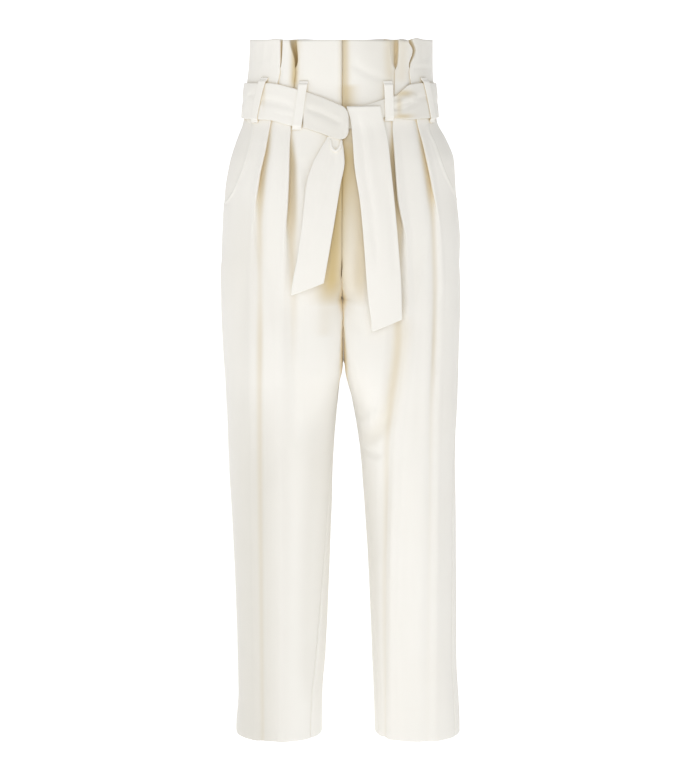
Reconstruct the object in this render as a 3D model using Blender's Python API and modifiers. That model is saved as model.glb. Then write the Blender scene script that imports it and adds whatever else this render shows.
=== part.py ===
"""Paperbag waist trousers: pleated fronts, backs, slant pockets, fly, belt loops and a tied belt.

Metres, +Z up.  The front faces -Y, so the wearer's right is at -X.  The origin is the middle of
the waist at the belt's mid-height, where the wearer holds the garment up.  Every panel is an open
sheet laid through horizontal sections of the torso and of each leg, with its pleats pressed in,
and a Solidify modifier gives it the cloth's thickness.
"""
from collections import namedtuple
from math import asin, cos, pi, sin

import bmesh
import bpy
from mathutils import Vector

COLLECTION = "paperbag_waist_trousers"

# Driving heights, from the belt's mid-height.
TOP_EDGE = 0.092
FRILL_FOOT = 0.046
FLY_FOOT = -0.150
CROTCH = -0.284
LEGS_PART = -0.387
HEM = -0.956

# Cloth and clearances.
CLOTH = 0.0015
BELT_CLOTH = 0.0024
STRIP_CLOTH = 0.0012
SEAM_GAP = 0.0005
LAYER_GAP = 0.0005
BELT_LIFT = 0.0013
SHIELD_GAP = 0.0008
LOOP_LIFT = 0.0009
SEAM_SETBACK = 0.0004

# Torso shape: the crotch seam leaves the straight centre seam at these heights.
FRONT_FORK_TOP = -0.196
BACK_FORK_TOP = -0.150
SOFT_FORK_TOP = -0.120
SOFT_FORK_FOOT = -0.390
FORK_REACH = 0.32
TORSO_POWER = 2.4
LEG_POWER = 2.25
THIGH_POWER = 3.2
THIGH_FOOT = -0.520

# Trouser pieces on the waist.
LOOP_WIDTH = 0.0135
LOOP_CLOTH = 0.0015
FACING_UNDERLAP = 0.010
FACING_SINK = 0.0030
SHIELD_EDGES = (-0.007, 0.027)
ZIP_EDGES = (-0.021, -0.0078)

Section = namedtuple("Section", "z outer inner front back")
RIGHT_SECTIONS = (
    Section(TOP_EDGE, -0.1340, 0.001, 0.098, 0.092),
    Section(0.048, -0.1365, 0.001, 0.097, 0.090),
    Section(0.020, -0.1400, 0.001, 0.095, 0.089),
    Section(-0.024, -0.1440, 0.001, 0.097, 0.091),
    Section(-0.054, -0.1545, 0.001, 0.102, 0.098),
    Section(-0.083, -0.1640, 0.001, 0.106, 0.107),
    Section(-0.128, -0.1720, 0.001, 0.110, 0.120),
    Section(-0.202, -0.1770, 0.001, 0.113, 0.131),
    Section(-0.247, -0.1795, 0.001, 0.112, 0.132),
    Section(-0.291, -0.1790, 0.002, 0.109, 0.127),
    Section(LEGS_PART, -0.1755, 0.003, 0.102, 0.111),
    Section(-0.412, -0.1740, -0.0015, 0.100, 0.107),
    Section(-0.519, -0.1705, -0.0105, 0.094, 0.092),
    Section(-0.674, -0.1630, -0.0165, 0.083, 0.081),
    Section(-0.831, -0.1580, -0.0230, 0.071, 0.073),
    Section(-0.895, -0.1570, -0.0280, 0.067, 0.070),
    Section(HEM, -0.1610, -0.0290, 0.064, 0.068),
)
LEFT_SECTIONS = (
    Section(TOP_EDGE, 0.1345, 0.001, 0.098, 0.092),
    Section(0.048, 0.1350, 0.001, 0.097, 0.090),
    Section(0.020, 0.1370, 0.001, 0.095, 0.089),
    Section(-0.024, 0.1410, 0.001, 0.097, 0.091),
    Section(-0.054, 0.1560, 0.001, 0.102, 0.098),
    Section(-0.083, 0.1670, 0.001, 0.106, 0.107),
    Section(-0.128, 0.1700, 0.001, 0.110, 0.120),
    Section(-0.202, 0.1765, 0.001, 0.113, 0.131),
    Section(-0.247, 0.1770, 0.001, 0.112, 0.132),
    Section(-0.291, 0.1775, 0.002, 0.109, 0.127),
    Section(LEGS_PART, 0.1755, 0.005, 0.102, 0.111),
    Section(-0.443, 0.1750, 0.0165, 0.098, 0.103),
    Section(-0.519, 0.1730, 0.0280, 0.094, 0.092),
    Section(-0.674, 0.1750, 0.0400, 0.083, 0.081),
    Section(-0.831, 0.1765, 0.0475, 0.071, 0.073),
    Section(HEM, 0.1830, 0.0520, 0.064, 0.068),
)

# Where the seams lie round the torso (from the centre front) and round the leg (from the inner
# side, by way of the front), in degrees: the legs are cut alike and hang turned differently.
SeamTurn = namedtuple("SeamTurn", "z torso_side leg_side inseam")
RIGHT_SEAMS = (
    SeamTurn(TOP_EDGE, 90.0, 180.0, 0.0),
    SeamTurn(CROTCH, 90.0, 180.0, 0.0),
    SeamTurn(-0.620, 90.0, 176.0, 24.0),
    SeamTurn(HEM, 90.0, 170.0, 44.0),
)
LEFT_SEAMS = (
    SeamTurn(TOP_EDGE, 88.0, 178.0, 0.0),
    SeamTurn(CROTCH, 88.0, 176.0, 0.0),
    SeamTurn(-0.620, 88.0, 154.0, 14.0),
    SeamTurn(HEM, 88.0, 149.0, 24.0),
)

# A fold's path is its x at a few heights.  Its press is how far the groove sinks and the lip on
# the outer side stands out at those heights.
FoldPoint = namedtuple("FoldPoint", "z x groove lip")
RIGHT_FOLDS = {
    "inner_pleat": (
        FoldPoint(TOP_EDGE, -0.0690, 0.010, 0.0),
        FoldPoint(0.062, -0.0665, 0.009, 0.0),
        FoldPoint(0.044, -0.0670, 0.002, 0.0),
        FoldPoint(0.023, -0.0690, 0.001, 0.0),
        FoldPoint(-0.031, -0.0730, 0.001, 0.0),
        FoldPoint(-0.070, -0.0745, 0.006, 0.003),
        FoldPoint(-0.135, -0.0760, 0.008, 0.004),
        FoldPoint(-0.275, -0.0770, 0.004, 0.002),
        FoldPoint(-0.456, -0.0790, 0.001, 0.002),
        FoldPoint(HEM, -0.0850, 0.001, 0.002),
    ),
    "outer_pleat": (
        FoldPoint(TOP_EDGE, -0.0860, 0.009, 0.0),
        FoldPoint(0.062, -0.0865, 0.008, 0.0),
        FoldPoint(0.050, -0.0870, 0.002, 0.0),
        FoldPoint(0.030, -0.0920, 0.001, 0.0),
        FoldPoint(-0.024, -0.1020, 0.001, 0.0),
        FoldPoint(-0.063, -0.1090, 0.005, 0.002),
        FoldPoint(-0.106, -0.1175, 0.007, 0.003),
        FoldPoint(-0.181, -0.1230, 0.006, 0.003),
        FoldPoint(-0.265, -0.1240, 0.004, 0.001),
        FoldPoint(-0.426, -0.1260, 0.004, 0.001),
        FoldPoint(HEM, -0.1240, 0.003, 0.001),
    ),
}
LEFT_FOLDS = {
    "inner_pleat": (
        FoldPoint(TOP_EDGE, 0.0765, 0.011, 0.0),
        FoldPoint(0.062, 0.0770, 0.009, 0.0),
        FoldPoint(0.043, 0.0775, 0.002, 0.0),
        FoldPoint(0.015, 0.0765, 0.001, 0.0),
        FoldPoint(-0.031, 0.0740, 0.001, 0.0),
        FoldPoint(-0.070, 0.0765, 0.006, 0.003),
        FoldPoint(-0.135, 0.0800, 0.008, 0.004),
        FoldPoint(-0.193, 0.0880, 0.007, 0.003),
        FoldPoint(-0.323, 0.0900, 0.004, 0.001),
        FoldPoint(-0.500, 0.0730, 0.003, 0.002),
        FoldPoint(HEM, 0.0690, 0.002, 0.002),
    ),
    "outer_pleat": (
        FoldPoint(TOP_EDGE, 0.1010, 0.009, 0.0),
        FoldPoint(0.062, 0.1010, 0.007, 0.0),
        FoldPoint(0.048, 0.0985, 0.002, 0.0),
        FoldPoint(0.030, 0.1010, 0.001, 0.0),
        FoldPoint(-0.024, 0.1100, 0.001, 0.0),
        FoldPoint(-0.063, 0.1200, 0.005, 0.002),
        FoldPoint(-0.113, 0.1300, 0.006, 0.003),
        FoldPoint(-0.178, 0.1385, 0.005, 0.002),
        FoldPoint(-0.279, 0.1430, 0.004, 0.001),
        FoldPoint(-0.456, 0.1380, 0.003, 0.001),
        FoldPoint(HEM, 0.1370, 0.002, 0.001),
    ),
}
BACK_TUCK = (
    FoldPoint(TOP_EDGE, 0.0700, 0.009, 0.0),
    FoldPoint(0.062, 0.0695, 0.008, 0.0),
    FoldPoint(0.046, 0.0690, 0.002, 0.0),
    FoldPoint(-0.030, 0.0700, 0.001, 0.0),
    FoldPoint(-0.130, 0.0720, 0.002, 0.0),
    FoldPoint(-0.230, 0.0760, 0.001, 0.001),
    FoldPoint(HEM, 0.0900, 0.001, 0.002),
)
# Columns of the sheet beside each fold, and the folded profile there (1 is the full groove or lip).
FOLD_STEPS = (-0.0065, -0.0025, 0.0, 0.0035, 0.0090)
FOLD_REACH = 0.014

# The slant pocket's mouth on each front: it leaves the side seam under the belt, turns at its
# upper corner, and slants back to the side seam.
MouthPoint = namedtuple("MouthPoint", "z x")
RIGHT_MOUTH = (
    MouthPoint(-0.0180, -0.1430),
    MouthPoint(-0.0205, -0.1420),
    MouthPoint(-0.0235, -0.1395),
    MouthPoint(-0.0270, -0.1350),
    MouthPoint(-0.0310, -0.1300),
    MouthPoint(-0.0680, -0.1370),
    MouthPoint(-0.1200, -0.1555),
    MouthPoint(-0.1390, -0.1665),
    MouthPoint(-0.1480, -0.1730),
)
LEFT_MOUTH = (
    MouthPoint(-0.0180, 0.1400),
    MouthPoint(-0.0205, 0.1390),
    MouthPoint(-0.0235, 0.1370),
    MouthPoint(-0.0270, 0.1330),
    MouthPoint(-0.0310, 0.1280),
    MouthPoint(-0.0580, 0.1385),
    MouthPoint(-0.0970, 0.1520),
    MouthPoint(-0.1290, 0.1660),
    MouthPoint(-0.1410, 0.1705),
)

FRONT_ROWS = (
    TOP_EDGE, 0.072, 0.056, 0.046, 0.026, 0.0, -0.0175, -0.0205, -0.0235, -0.027, -0.031,
    -0.050, -0.075, -0.100, -0.120, -0.132, -0.1405, -0.1485, -0.196, -0.225, -0.250, -0.268,
    -0.279, CROTCH, -0.300, -0.340, LEGS_PART, -0.460, -0.560, -0.680, -0.810, HEM,
)
BACK_ROWS = (
    TOP_EDGE, 0.072, 0.056, 0.046, 0.026, 0.0, -0.025, -0.050, -0.075, -0.100, -0.130, -0.165,
    -0.196, -0.225, -0.250, -0.268, -0.279, CROTCH, -0.300, -0.340, LEGS_PART, -0.460, -0.560,
    -0.680, -0.810, HEM,
)
FACING_ROWS = (-0.0190, -0.0235, -0.0310, -0.0500, -0.0750, -0.1000, -0.1200, -0.1405)

BELT_STEP = 6.0
BeltEdge = namedtuple("BeltEdge", "turn top bottom")
# Round the waist from the wearer's left front, by the back, to the right front, in degrees.
BELT_ROUND = (
    BeltEdge(23.8, 0.0100, -0.0170),
    BeltEdge(28.0, 0.0120, -0.0175),
    BeltEdge(42.0, 0.0290, -0.0210),
    BeltEdge(54.0, 0.0310, -0.0200),
    BeltEdge(90.0, 0.0300, -0.0210),
    BeltEdge(180.0, 0.0265, -0.0265),
    BeltEdge(270.0, 0.0295, -0.0215),
    BeltEdge(316.0, 0.0310, -0.0215),
    BeltEdge(336.0, 0.0235, -0.0300),
    BeltEdge(340.6, 0.0205, -0.0315),
)
StripEdge = namedtuple("StripEdge", "x top bottom lift")
BELT_CROSS = (
    StripEdge(-0.0550, 0.0200, -0.0320, BELT_LIFT),
    StripEdge(-0.0420, 0.0165, -0.0355, BELT_LIFT),
    StripEdge(-0.0250, 0.0105, -0.0410, 0.0012),
    StripEdge(-0.0120, 0.0050, -0.0455, 0.0015),
    StripEdge(-0.0030, 0.0010, -0.0470, 0.0017),
    StripEdge(0.0030, -0.0040, -0.0440, 0.0017),
    StripEdge(0.0060, -0.0120, -0.0380, 0.0015),
)
BELT_UNDER = (
    StripEdge(0.0652, 0.0095, -0.0170, BELT_LIFT),
    StripEdge(0.0500, 0.0050, -0.0215, BELT_LIFT),
    StripEdge(0.0300, -0.0010, -0.0280, BELT_LIFT),
    StripEdge(0.0070, -0.0080, -0.0340, BELT_LIFT),
)
TailRow = namedtuple("TailRow", "z_left left z_right right lift")
TAIL_RIGHT_END = (
    TailRow(-0.0575, -0.0240, -0.0575, 0.0020, 0.0004),
    TailRow(-0.0800, -0.0400, -0.0800, 0.0040, 0.0030),
    TailRow(-0.1120, -0.0500, -0.1120, -0.0010, 0.0050),
    TailRow(-0.1620, -0.0555, -0.1580, -0.0085, 0.0065),
    TailRow(-0.2150, -0.0630, -0.2050, -0.0165, 0.0065),
    TailRow(-0.2720, -0.0720, -0.2530, -0.0250, 0.0060),
)
TAIL_LEFT_END = (
    TailRow(-0.0010, 0.0075, -0.0010, 0.0560, 0.0042),
    TailRow(-0.0200, 0.0125, -0.0200, 0.0600, 0.0048),
    TailRow(-0.0480, 0.0160, -0.0480, 0.0665, 0.0055),
    TailRow(-0.0830, 0.0185, -0.0830, 0.0705, 0.0070),
    TailRow(-0.1390, 0.0270, -0.1390, 0.0765, 0.0085),
    TailRow(-0.2050, 0.0330, -0.2050, 0.0825, 0.0085),
    TailRow(-0.2700, 0.0380, -0.2600, 0.0865, 0.0080),
    TailRow(-0.3250, 0.0440, -0.3070, 0.0880, 0.0075),
)
KNOT_PATH = ((-0.0130, -0.0520), (-0.0050, -0.0510), (0.0020, -0.0540))
KNOT_RADIUS = 0.0030
KNOT_LIFT = 0.0006

# Each loop crosses the belt from its top end to its bottom end, in degrees round the waist.
Loop = namedtuple("Loop", "name top_turn bottom_turn top bottom")
LOOPS = (
    Loop("belt_loop_right_side", 310.5, 303.0, 0.0395, -0.0290),
    Loop("belt_loop_right_front", 341.2, 338.2, 0.0345, -0.0385),
    Loop("belt_loop_left_front", 24.6, 24.6, 0.0345, -0.0255),
    Loop("belt_loop_left_side", 57.5, 66.0, 0.0390, -0.0290),
    Loop("belt_loop_left_back", 153.0, 153.0, 0.0345, -0.0345),
    Loop("belt_loop_right_back", 207.0, 207.0, 0.0345, -0.0345),
)

CREAM = (0.905, 0.872, 0.795, 1.0)
SHADE_CREAM = (0.800, 0.745, 0.660, 1.0)
CLOTH_ROUGHNESS = 0.72


def between(rows, z, field):
    """Value of a field at a height, on a smooth curve through the rows, which run downwards."""
    if z >= rows[0].z:
        return getattr(rows[0], field)
    if z <= rows[-1].z:
        return getattr(rows[-1], field)
    for index in range(len(rows) - 1):
        if rows[index].z >= z >= rows[index + 1].z:
            break
    before = rows[max(index - 1, 0)]
    start = rows[index]
    end = rows[index + 1]
    after = rows[min(index + 2, len(rows) - 1)]
    span = start.z - end.z
    share = (start.z - z) / span
    start_slope = slope(before, start, end, field) * span
    end_slope = slope(start, end, after, field) * span
    square = share * share
    cube = square * share
    return (
        (2 * cube - 3 * square + 1) * getattr(start, field)
        + (cube - 2 * square + share) * start_slope
        + (3 * square - 2 * cube) * getattr(end, field)
        + (cube - square) * end_slope
    )


def slope(before, here, after, field):
    """Downward slope at a row that never overshoots its neighbours."""
    if before is here or after is here:
        return 0.0
    above = (getattr(here, field) - getattr(before, field)) / (before.z - here.z)
    below = (getattr(after, field) - getattr(here, field)) / (here.z - after.z)
    if above * below <= 0.0:
        return 0.0
    return 2.0 * above * below / (above + below)


def ease(value):
    value = min(max(value, 0.0), 1.0)
    return value * value * (3.0 - 2.0 * value)


def power_arc(angle, power):
    """Cosine and sine of a superellipse."""
    across = cos(angle)
    along = sin(angle)
    exponent = 2.0 / power
    return (
        abs(across) ** exponent * (1 if across >= 0 else -1),
        abs(along) ** exponent * (1 if along >= 0 else -1),
    )


class Half:
    """One half of the trousers: its sections, its seams and its folds."""

    def __init__(self, side, sections, seams, folds, mouth):
        self.side = side
        self.sections = sections
        self.seams = seams
        self.folds = folds
        self.mouth = mouth

    def at(self, z, field):
        return between(self.sections, z, field)

    def centre(self, z):
        """The line where the two halves meet, which drifts over towards the wearer's left."""
        right = between(RIGHT_SECTIONS, max(z, LEGS_PART), "inner")
        left = between(LEFT_SECTIONS, max(z, LEGS_PART), "inner")
        return (right + left) / 2

    def torso_point(self, angle, z):
        """Point round the torso; the angle runs from the centre front to the centre back."""
        depth, width = power_arc(angle, TORSO_POWER)
        reach = self.at(z, "front") if depth >= 0 else self.at(z, "back")
        centre = self.centre(z)
        return Vector((centre + (self.at(z, "outer") - centre) * width, -reach * depth, z))

    def leg_point(self, angle, z):
        """Point round the leg; the angle runs from the inner side by way of the front.

        The thighs press together, so the inner half of the section is fuller there.
        """
        outer = self.at(z, "outer")
        inner = self.at(z, "inner")
        power = LEG_POWER
        if cos(angle) > 0:
            fullness = ease((z - THIGH_FOOT) / (CROTCH - THIGH_FOOT))
            power += (THIGH_POWER - LEG_POWER) * fullness
        across, depth = power_arc(angle, power)
        reach = self.at(z, "front") if depth >= 0 else self.at(z, "back")
        x = (outer + inner) / 2 + (inner - outer) / 2 * across
        return Vector((x, -reach * depth, z))

    def fork(self, z, share, fork_top):
        """How far a point has left the torso's section for the leg's.

        On the crotch seam this follows a quarter ellipse, and it softens away from the seam.
        """
        away = ease(share / FORK_REACH)
        top = fork_top + (SOFT_FORK_TOP - fork_top) * away
        foot = CROTCH + (SOFT_FORK_FOOT - CROTCH) * away
        fall = min(max((top - z) / (top - foot), 0.0), 1.0)
        return 1.0 - (1.0 - fall * fall) ** (0.5 + 1.3 * away)

    def front_point(self, share, z):
        """Point of the front's section; the share runs from the centre or inseam to the side."""
        turn = between(self.seams, z, "torso_side") * share
        start = between(self.seams, z, "inseam")
        leg_turn = start + (between(self.seams, z, "leg_side") - start) * share
        blend = self.fork(z, share, FRONT_FORK_TOP)
        torso = self.torso_point(turn * pi / 180, z)
        leg = self.leg_point(leg_turn * pi / 180, z)
        return self.clear_of_centre(torso.lerp(leg, blend), z)

    def back_point(self, share, z):
        """Point of the back's section; the share runs from the centre or inseam to the side."""
        side = between(self.seams, z, "torso_side")
        turn = 180 - (180 - side) * share
        start = between(self.seams, z, "inseam") + 360
        leg_turn = start + (between(self.seams, z, "leg_side") - start) * share
        blend = self.fork(z, share, BACK_FORK_TOP)
        torso = self.torso_point(turn * pi / 180, z)
        leg = self.leg_point(leg_turn * pi / 180, z)
        return self.clear_of_centre(torso.lerp(leg, blend), z)

    def clear_of_centre(self, point, z):
        if z > LEGS_PART:
            limit = self.centre(z) + self.side * SEAM_GAP / 2
            point.x = max(point.x, limit) if self.side > 0 else min(point.x, limit)
        return point


RIGHT = Half(-1, RIGHT_SECTIONS, RIGHT_SEAMS, RIGHT_FOLDS, RIGHT_MOUTH)
LEFT = Half(1, LEFT_SECTIONS, LEFT_SEAMS, LEFT_FOLDS, LEFT_MOUTH)


def cut_curve(point_at, z, start=0.0, end=1.0, steps=160):
    """Dense points of one section, with the length run so far at each."""
    points = [point_at(start + (end - start) * step / steps, z) for step in range(steps + 1)]
    lengths = [0.0]
    for before, after in zip(points, points[1:]):
        lengths.append(lengths[-1] + (after - before).length)
    return points, lengths


def point_along(points, lengths, length):
    """Point of a section at a length, and the outward direction there."""
    length = min(max(length, 0.0), lengths[-1])
    index = 0
    while index < len(lengths) - 2 and lengths[index + 1] < length:
        index += 1
    span = lengths[index + 1] - lengths[index]
    share = (length - lengths[index]) / span if span > 0 else 0.0
    before = points[max(index - 1, 0)]
    after = points[min(index + 2, len(points) - 1)]
    along = (after - before).normalized()
    return points[index].lerp(points[index + 1], share), along


def length_at_x(points, lengths, x):
    """Length at which a section first crosses an x."""
    for index in range(len(points) - 1):
        low, high = sorted((points[index].x, points[index + 1].x))
        if low <= x <= high and high > low:
            share = abs(x - points[index].x) / (high - low)
            return lengths[index] + (lengths[index + 1] - lengths[index]) * share
    return lengths[-1]


def fold_press(folds, z, x, side):
    """Signed press of the folds at a point: negative sinks in, positive stands out."""
    press = 0.0
    for path in folds:
        away = (x - between(path, z, "x")) * side
        if abs(away) >= FOLD_REACH:
            continue
        groove = between(path, z, "groove")
        lip = between(path, z, "lip")
        if z > FRILL_FOOT:
            press -= groove * max(1.0 - abs(away) / 0.0050, 0.0)
        elif away >= 0.0:
            press += lip * (1.0 - ease((away - 0.0035) / 0.0105)) if away > 0.0035 else (
                -groove + (groove + lip) * away / 0.0035
            )
        else:
            press -= groove * (1.0 - ease(-away / 0.0120))
    return press


def outward(along, side, facing):
    """Horizontal direction that points out of the body, square to a section's run."""
    turned = Vector((along.y, -along.x, 0.0)) * (side * facing)
    return turned.normalized()


def column_lengths(anchors, total, counts):
    """Lengths of the sheet's columns: close together at the folds, even between them."""
    stops = [0.0]
    for anchor in anchors:
        stops.extend(anchor + step for step in FOLD_STEPS)
    stops.append(total)
    columns = []
    for index, count in enumerate(counts):
        first = index * len(FOLD_STEPS)
        start = stops[first]
        end = stops[first + 1]
        columns.extend(start + (end - start) * step / count for step in range(count))
        columns.extend(stops[first + 1:first + len(FOLD_STEPS)] if index < len(anchors) else [])
    columns.append(total)
    return columns


def mouth_share(half, z):
    """The share of the front's section that ends at the pocket's mouth."""
    if not half.mouth[-1].z <= z <= half.mouth[0].z:
        return 1.0
    points, lengths = cut_curve(half.front_point, z)
    crossing = length_at_x(points, lengths, between(half.mouth, z, "x"))
    index = min(range(len(lengths)), key=lambda step: abs(lengths[step] - crossing))
    return index / (len(lengths) - 1)


def front_rows(half):
    """Rows of points of a front, which is cut in one with the paperbag top."""
    paths = [half.folds["inner_pleat"], half.folds["outer_pleat"]]
    rows = []
    for z in FRONT_ROWS:
        points, lengths = cut_curve(half.front_point, z, 0.0, mouth_share(half, z))
        total = lengths[-1] - SEAM_SETBACK
        anchors = [length_at_x(points, lengths, between(path, z, "x")) for path in paths]
        row = []
        for length in column_lengths(anchors, total, (5, 2, 3)):
            point, along = point_along(points, lengths, max(length, SEAM_SETBACK))
            press = fold_press(paths, z, point.x, half.side)
            row.append(point + outward(along, half.side, 1) * press)
        rows.append(row)
    return rows


def back_rows(half):
    """Rows of points of a back, with the tuck that draws it in under the belt."""
    tuck = [point._replace(x=point.x * half.side) for point in BACK_TUCK]
    rows = []
    for z in BACK_ROWS:
        points, lengths = cut_curve(half.back_point, z)
        total = lengths[-1] - SEAM_SETBACK
        anchor = length_at_x(points, lengths, between(tuck, z, "x"))
        row = []
        for length in column_lengths([anchor], total, (4, 4)):
            point, along = point_along(points, lengths, max(length, SEAM_SETBACK))
            press = fold_press([tuck], z, point.x, half.side)
            row.append(point + outward(along, half.side, -1) * press)
        rows.append(row)
    return rows


def facing_rows(half):
    """Rows of the pocket's facing, which shows past the mouth and runs on under the front."""
    rows = []
    for z in FACING_ROWS:
        points, lengths = cut_curve(half.front_point, z)
        mouth = length_at_x(points, lengths, between(half.mouth, z, "x"))
        start = mouth - FACING_UNDERLAP
        end = lengths[-1] - SEAM_SETBACK
        row = []
        for step in range(7):
            point, along = point_along(points, lengths, start + (end - start) * step / 6)
            press = fold_press([half.folds["outer_pleat"]], z, point.x, half.side)
            row.append(point + outward(along, half.side, 1) * (min(press, 0.0) - FACING_SINK))
        rows.append(row)
    return rows


def waist_point(turn, z, lift):
    """Point that stands off the waist; the turn runs from the centre front by the wearer's left."""
    turn = turn % 360
    half = LEFT if turn <= 180 else RIGHT
    angle = turn if turn <= 180 else 360 - turn
    step = 0.5 if angle < 179 else -0.5
    point = half.torso_point(angle * pi / 180, z)
    ahead = half.torso_point((angle + step) * pi / 180, z)
    along = (ahead - point) * (1 if step > 0 else -1)
    return point + outward(along, half.side, 1) * lift


def front_turn(x, z):
    """The turn round the waist at which the torso's front has an x."""
    half = LEFT if x >= LEFT.centre(z) else RIGHT
    centre = half.centre(z)
    width = (x - centre) / (half.at(z, "outer") - centre)
    angle = asin(min(width, 1.0) ** (TORSO_POWER / 2)) * 180 / pi
    return angle if half is LEFT else 360 - angle


def front_off(x, z, lift):
    """Point in front of the torso that keeps its x, with the lift measured straight ahead."""
    point = waist_point(front_turn(x, z), z, 0.0)
    return Vector((x, point.y - lift, z))


def make_collection(name):
    collection = bpy.data.collections.new(name)
    bpy.context.scene.collection.children.link(collection)
    return collection


def make_material(name, colour, roughness=CLOTH_ROUGHNESS):
    material = bpy.data.materials.new(name)
    material.use_nodes = True
    shader = material.node_tree.nodes["Principled BSDF"]
    shader.inputs["Base Color"].default_value = colour
    shader.inputs["Roughness"].default_value = roughness
    shader.inputs["Metallic"].default_value = 0.0
    return material


def add_sheet(name, rows, thickness, colour, collection, flip=False):
    """A closed sheet of cloth through rows of points, thickened towards the body."""
    cloth = bmesh.new()
    grid = [[cloth.verts.new(point) for point in row] for row in rows]
    for upper, lower in zip(grid, grid[1:]):
        for column in range(len(upper) - 1):
            corners = [upper[column], upper[column + 1], lower[column + 1], lower[column]]
            if flip:
                corners.reverse()
            cloth.faces.new(corners)
    mesh = bpy.data.meshes.new(name)
    cloth.to_mesh(mesh)
    cloth.free()
    mesh.materials.append(make_material(name, colour))
    mesh.shade_smooth()
    sheet = bpy.data.objects.new(name, mesh)
    collection.objects.link(sheet)
    wall = sheet.modifiers.new("cloth", "SOLIDIFY")
    wall.thickness = thickness
    wall.offset = -1.0
    wall.use_rim = True
    return sheet


def strip_rows(edges, columns, thickness):
    """Rows of a belt stretch across the front, lifted by its own thickness to its outer side."""
    rows = []
    for edge in edges:
        row = []
        for step in range(columns + 1):
            z = edge.top + (edge.bottom - edge.top) * step / columns
            row.append(front_off(edge.x, z, edge.lift + thickness))
        rows.append(row)
    return rows


def build_panels(collection):
    for half, name in ((RIGHT, "right"), (LEFT, "left")):
        on_left = half.side > 0
        add_sheet("front_" + name, front_rows(half), CLOTH, CREAM, collection, flip=on_left)
        add_sheet("back_" + name, back_rows(half), CLOTH, CREAM, collection, flip=not on_left)
        add_sheet("pocket_facing_" + name, facing_rows(half), STRIP_CLOTH, CREAM, collection,
                  flip=on_left)


def build_fly(collection):
    """The fly shield behind the opening, and the zip's tape beside it."""
    sink = CLOTH + SHIELD_GAP
    for name, edges in (("fly_shield", SHIELD_EDGES), ("fly_zip", ZIP_EDGES)):
        rows = []
        for z in (0.088, 0.058, 0.028, 0.0, -0.028, -0.060, -0.105, FLY_FOOT):
            xs = [edges[0] + (edges[1] - edges[0]) * step / 3 for step in range(4)]
            rows.append([front_off(x, z, -sink) for x in xs])
        add_sheet(name, rows, STRIP_CLOTH, SHADE_CREAM, collection, flip=True)


def build_belt(collection):
    """The belt's stretches: round the waist, across to the knot, the knot and the two ends."""
    rows = []
    for index in range(len(BELT_ROUND) - 1):
        start = BELT_ROUND[index]
        end = BELT_ROUND[index + 1]
        count = max(round((end.turn - start.turn) / BELT_STEP), 1)
        last = index == len(BELT_ROUND) - 2
        for step in range(count + (1 if last else 0)):
            share = step / count
            turn = start.turn + (end.turn - start.turn) * share
            top = start.top + (end.top - start.top) * share
            bottom = start.bottom + (end.bottom - start.bottom) * share
            heights = (top, (top + bottom) / 2, bottom)
            rows.append([waist_point(turn, z, BELT_LIFT + BELT_CLOTH) for z in heights])
    add_sheet("belt_round", rows, BELT_CLOTH, CREAM, collection)
    across = strip_rows(BELT_CROSS, 3, BELT_CLOTH)
    add_sheet("belt_cross", across, BELT_CLOTH, CREAM, collection)
    under = strip_rows(BELT_UNDER, 2, BELT_CLOTH)
    add_sheet("belt_under", under, BELT_CLOTH, CREAM, collection, flip=True)
    for name, table in (("belt_end_right", TAIL_RIGHT_END), ("belt_end_left", TAIL_LEFT_END)):
        rows = []
        for row in table:
            points = []
            for step in range(5):
                share = step / 4
                x = row.left + (row.right - row.left) * share
                z = row.z_left + (row.z_right - row.z_left) * share
                crown = 0.0012 * sin(pi * share)
                points.append(front_off(x, z, row.lift + BELT_CLOTH + crown))
            rows.append(points)
        add_sheet(name, rows, BELT_CLOTH, CREAM, collection, flip=True)
    build_knot(collection)


def build_knot(collection):
    """The small roll of belt under the crossing, a tube that lies along its path."""
    curve = bpy.data.curves.new("belt_knot", "CURVE")
    curve.dimensions = "3D"
    curve.bevel_depth = KNOT_RADIUS
    curve.bevel_resolution = 2
    curve.use_fill_caps = True
    spline = curve.splines.new("POLY")
    spline.points.add(len(KNOT_PATH) - 1)
    for point, (x, z) in zip(spline.points, KNOT_PATH):
        centre = front_off(x, z, KNOT_LIFT + KNOT_RADIUS)
        point.co = (centre.x, centre.y, centre.z, 1.0)
    tube = bpy.data.objects.new("belt_knot_curve", curve)
    collection.objects.link(tube)
    bpy.context.view_layer.update()
    evaluated = tube.evaluated_get(bpy.context.evaluated_depsgraph_get())
    mesh = bpy.data.meshes.new_from_object(evaluated)
    bpy.data.objects.remove(tube)
    cloth = bmesh.new()
    cloth.from_mesh(mesh)
    bmesh.ops.remove_doubles(cloth, verts=cloth.verts, dist=0.00001)
    bmesh.ops.recalc_face_normals(cloth, faces=cloth.faces)
    cloth.to_mesh(mesh)
    cloth.free()
    mesh.name = "belt_knot"
    mesh.materials.clear()
    mesh.materials.append(make_material("belt_knot", CREAM))
    collection.objects.link(bpy.data.objects.new("belt_knot", mesh))


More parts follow.
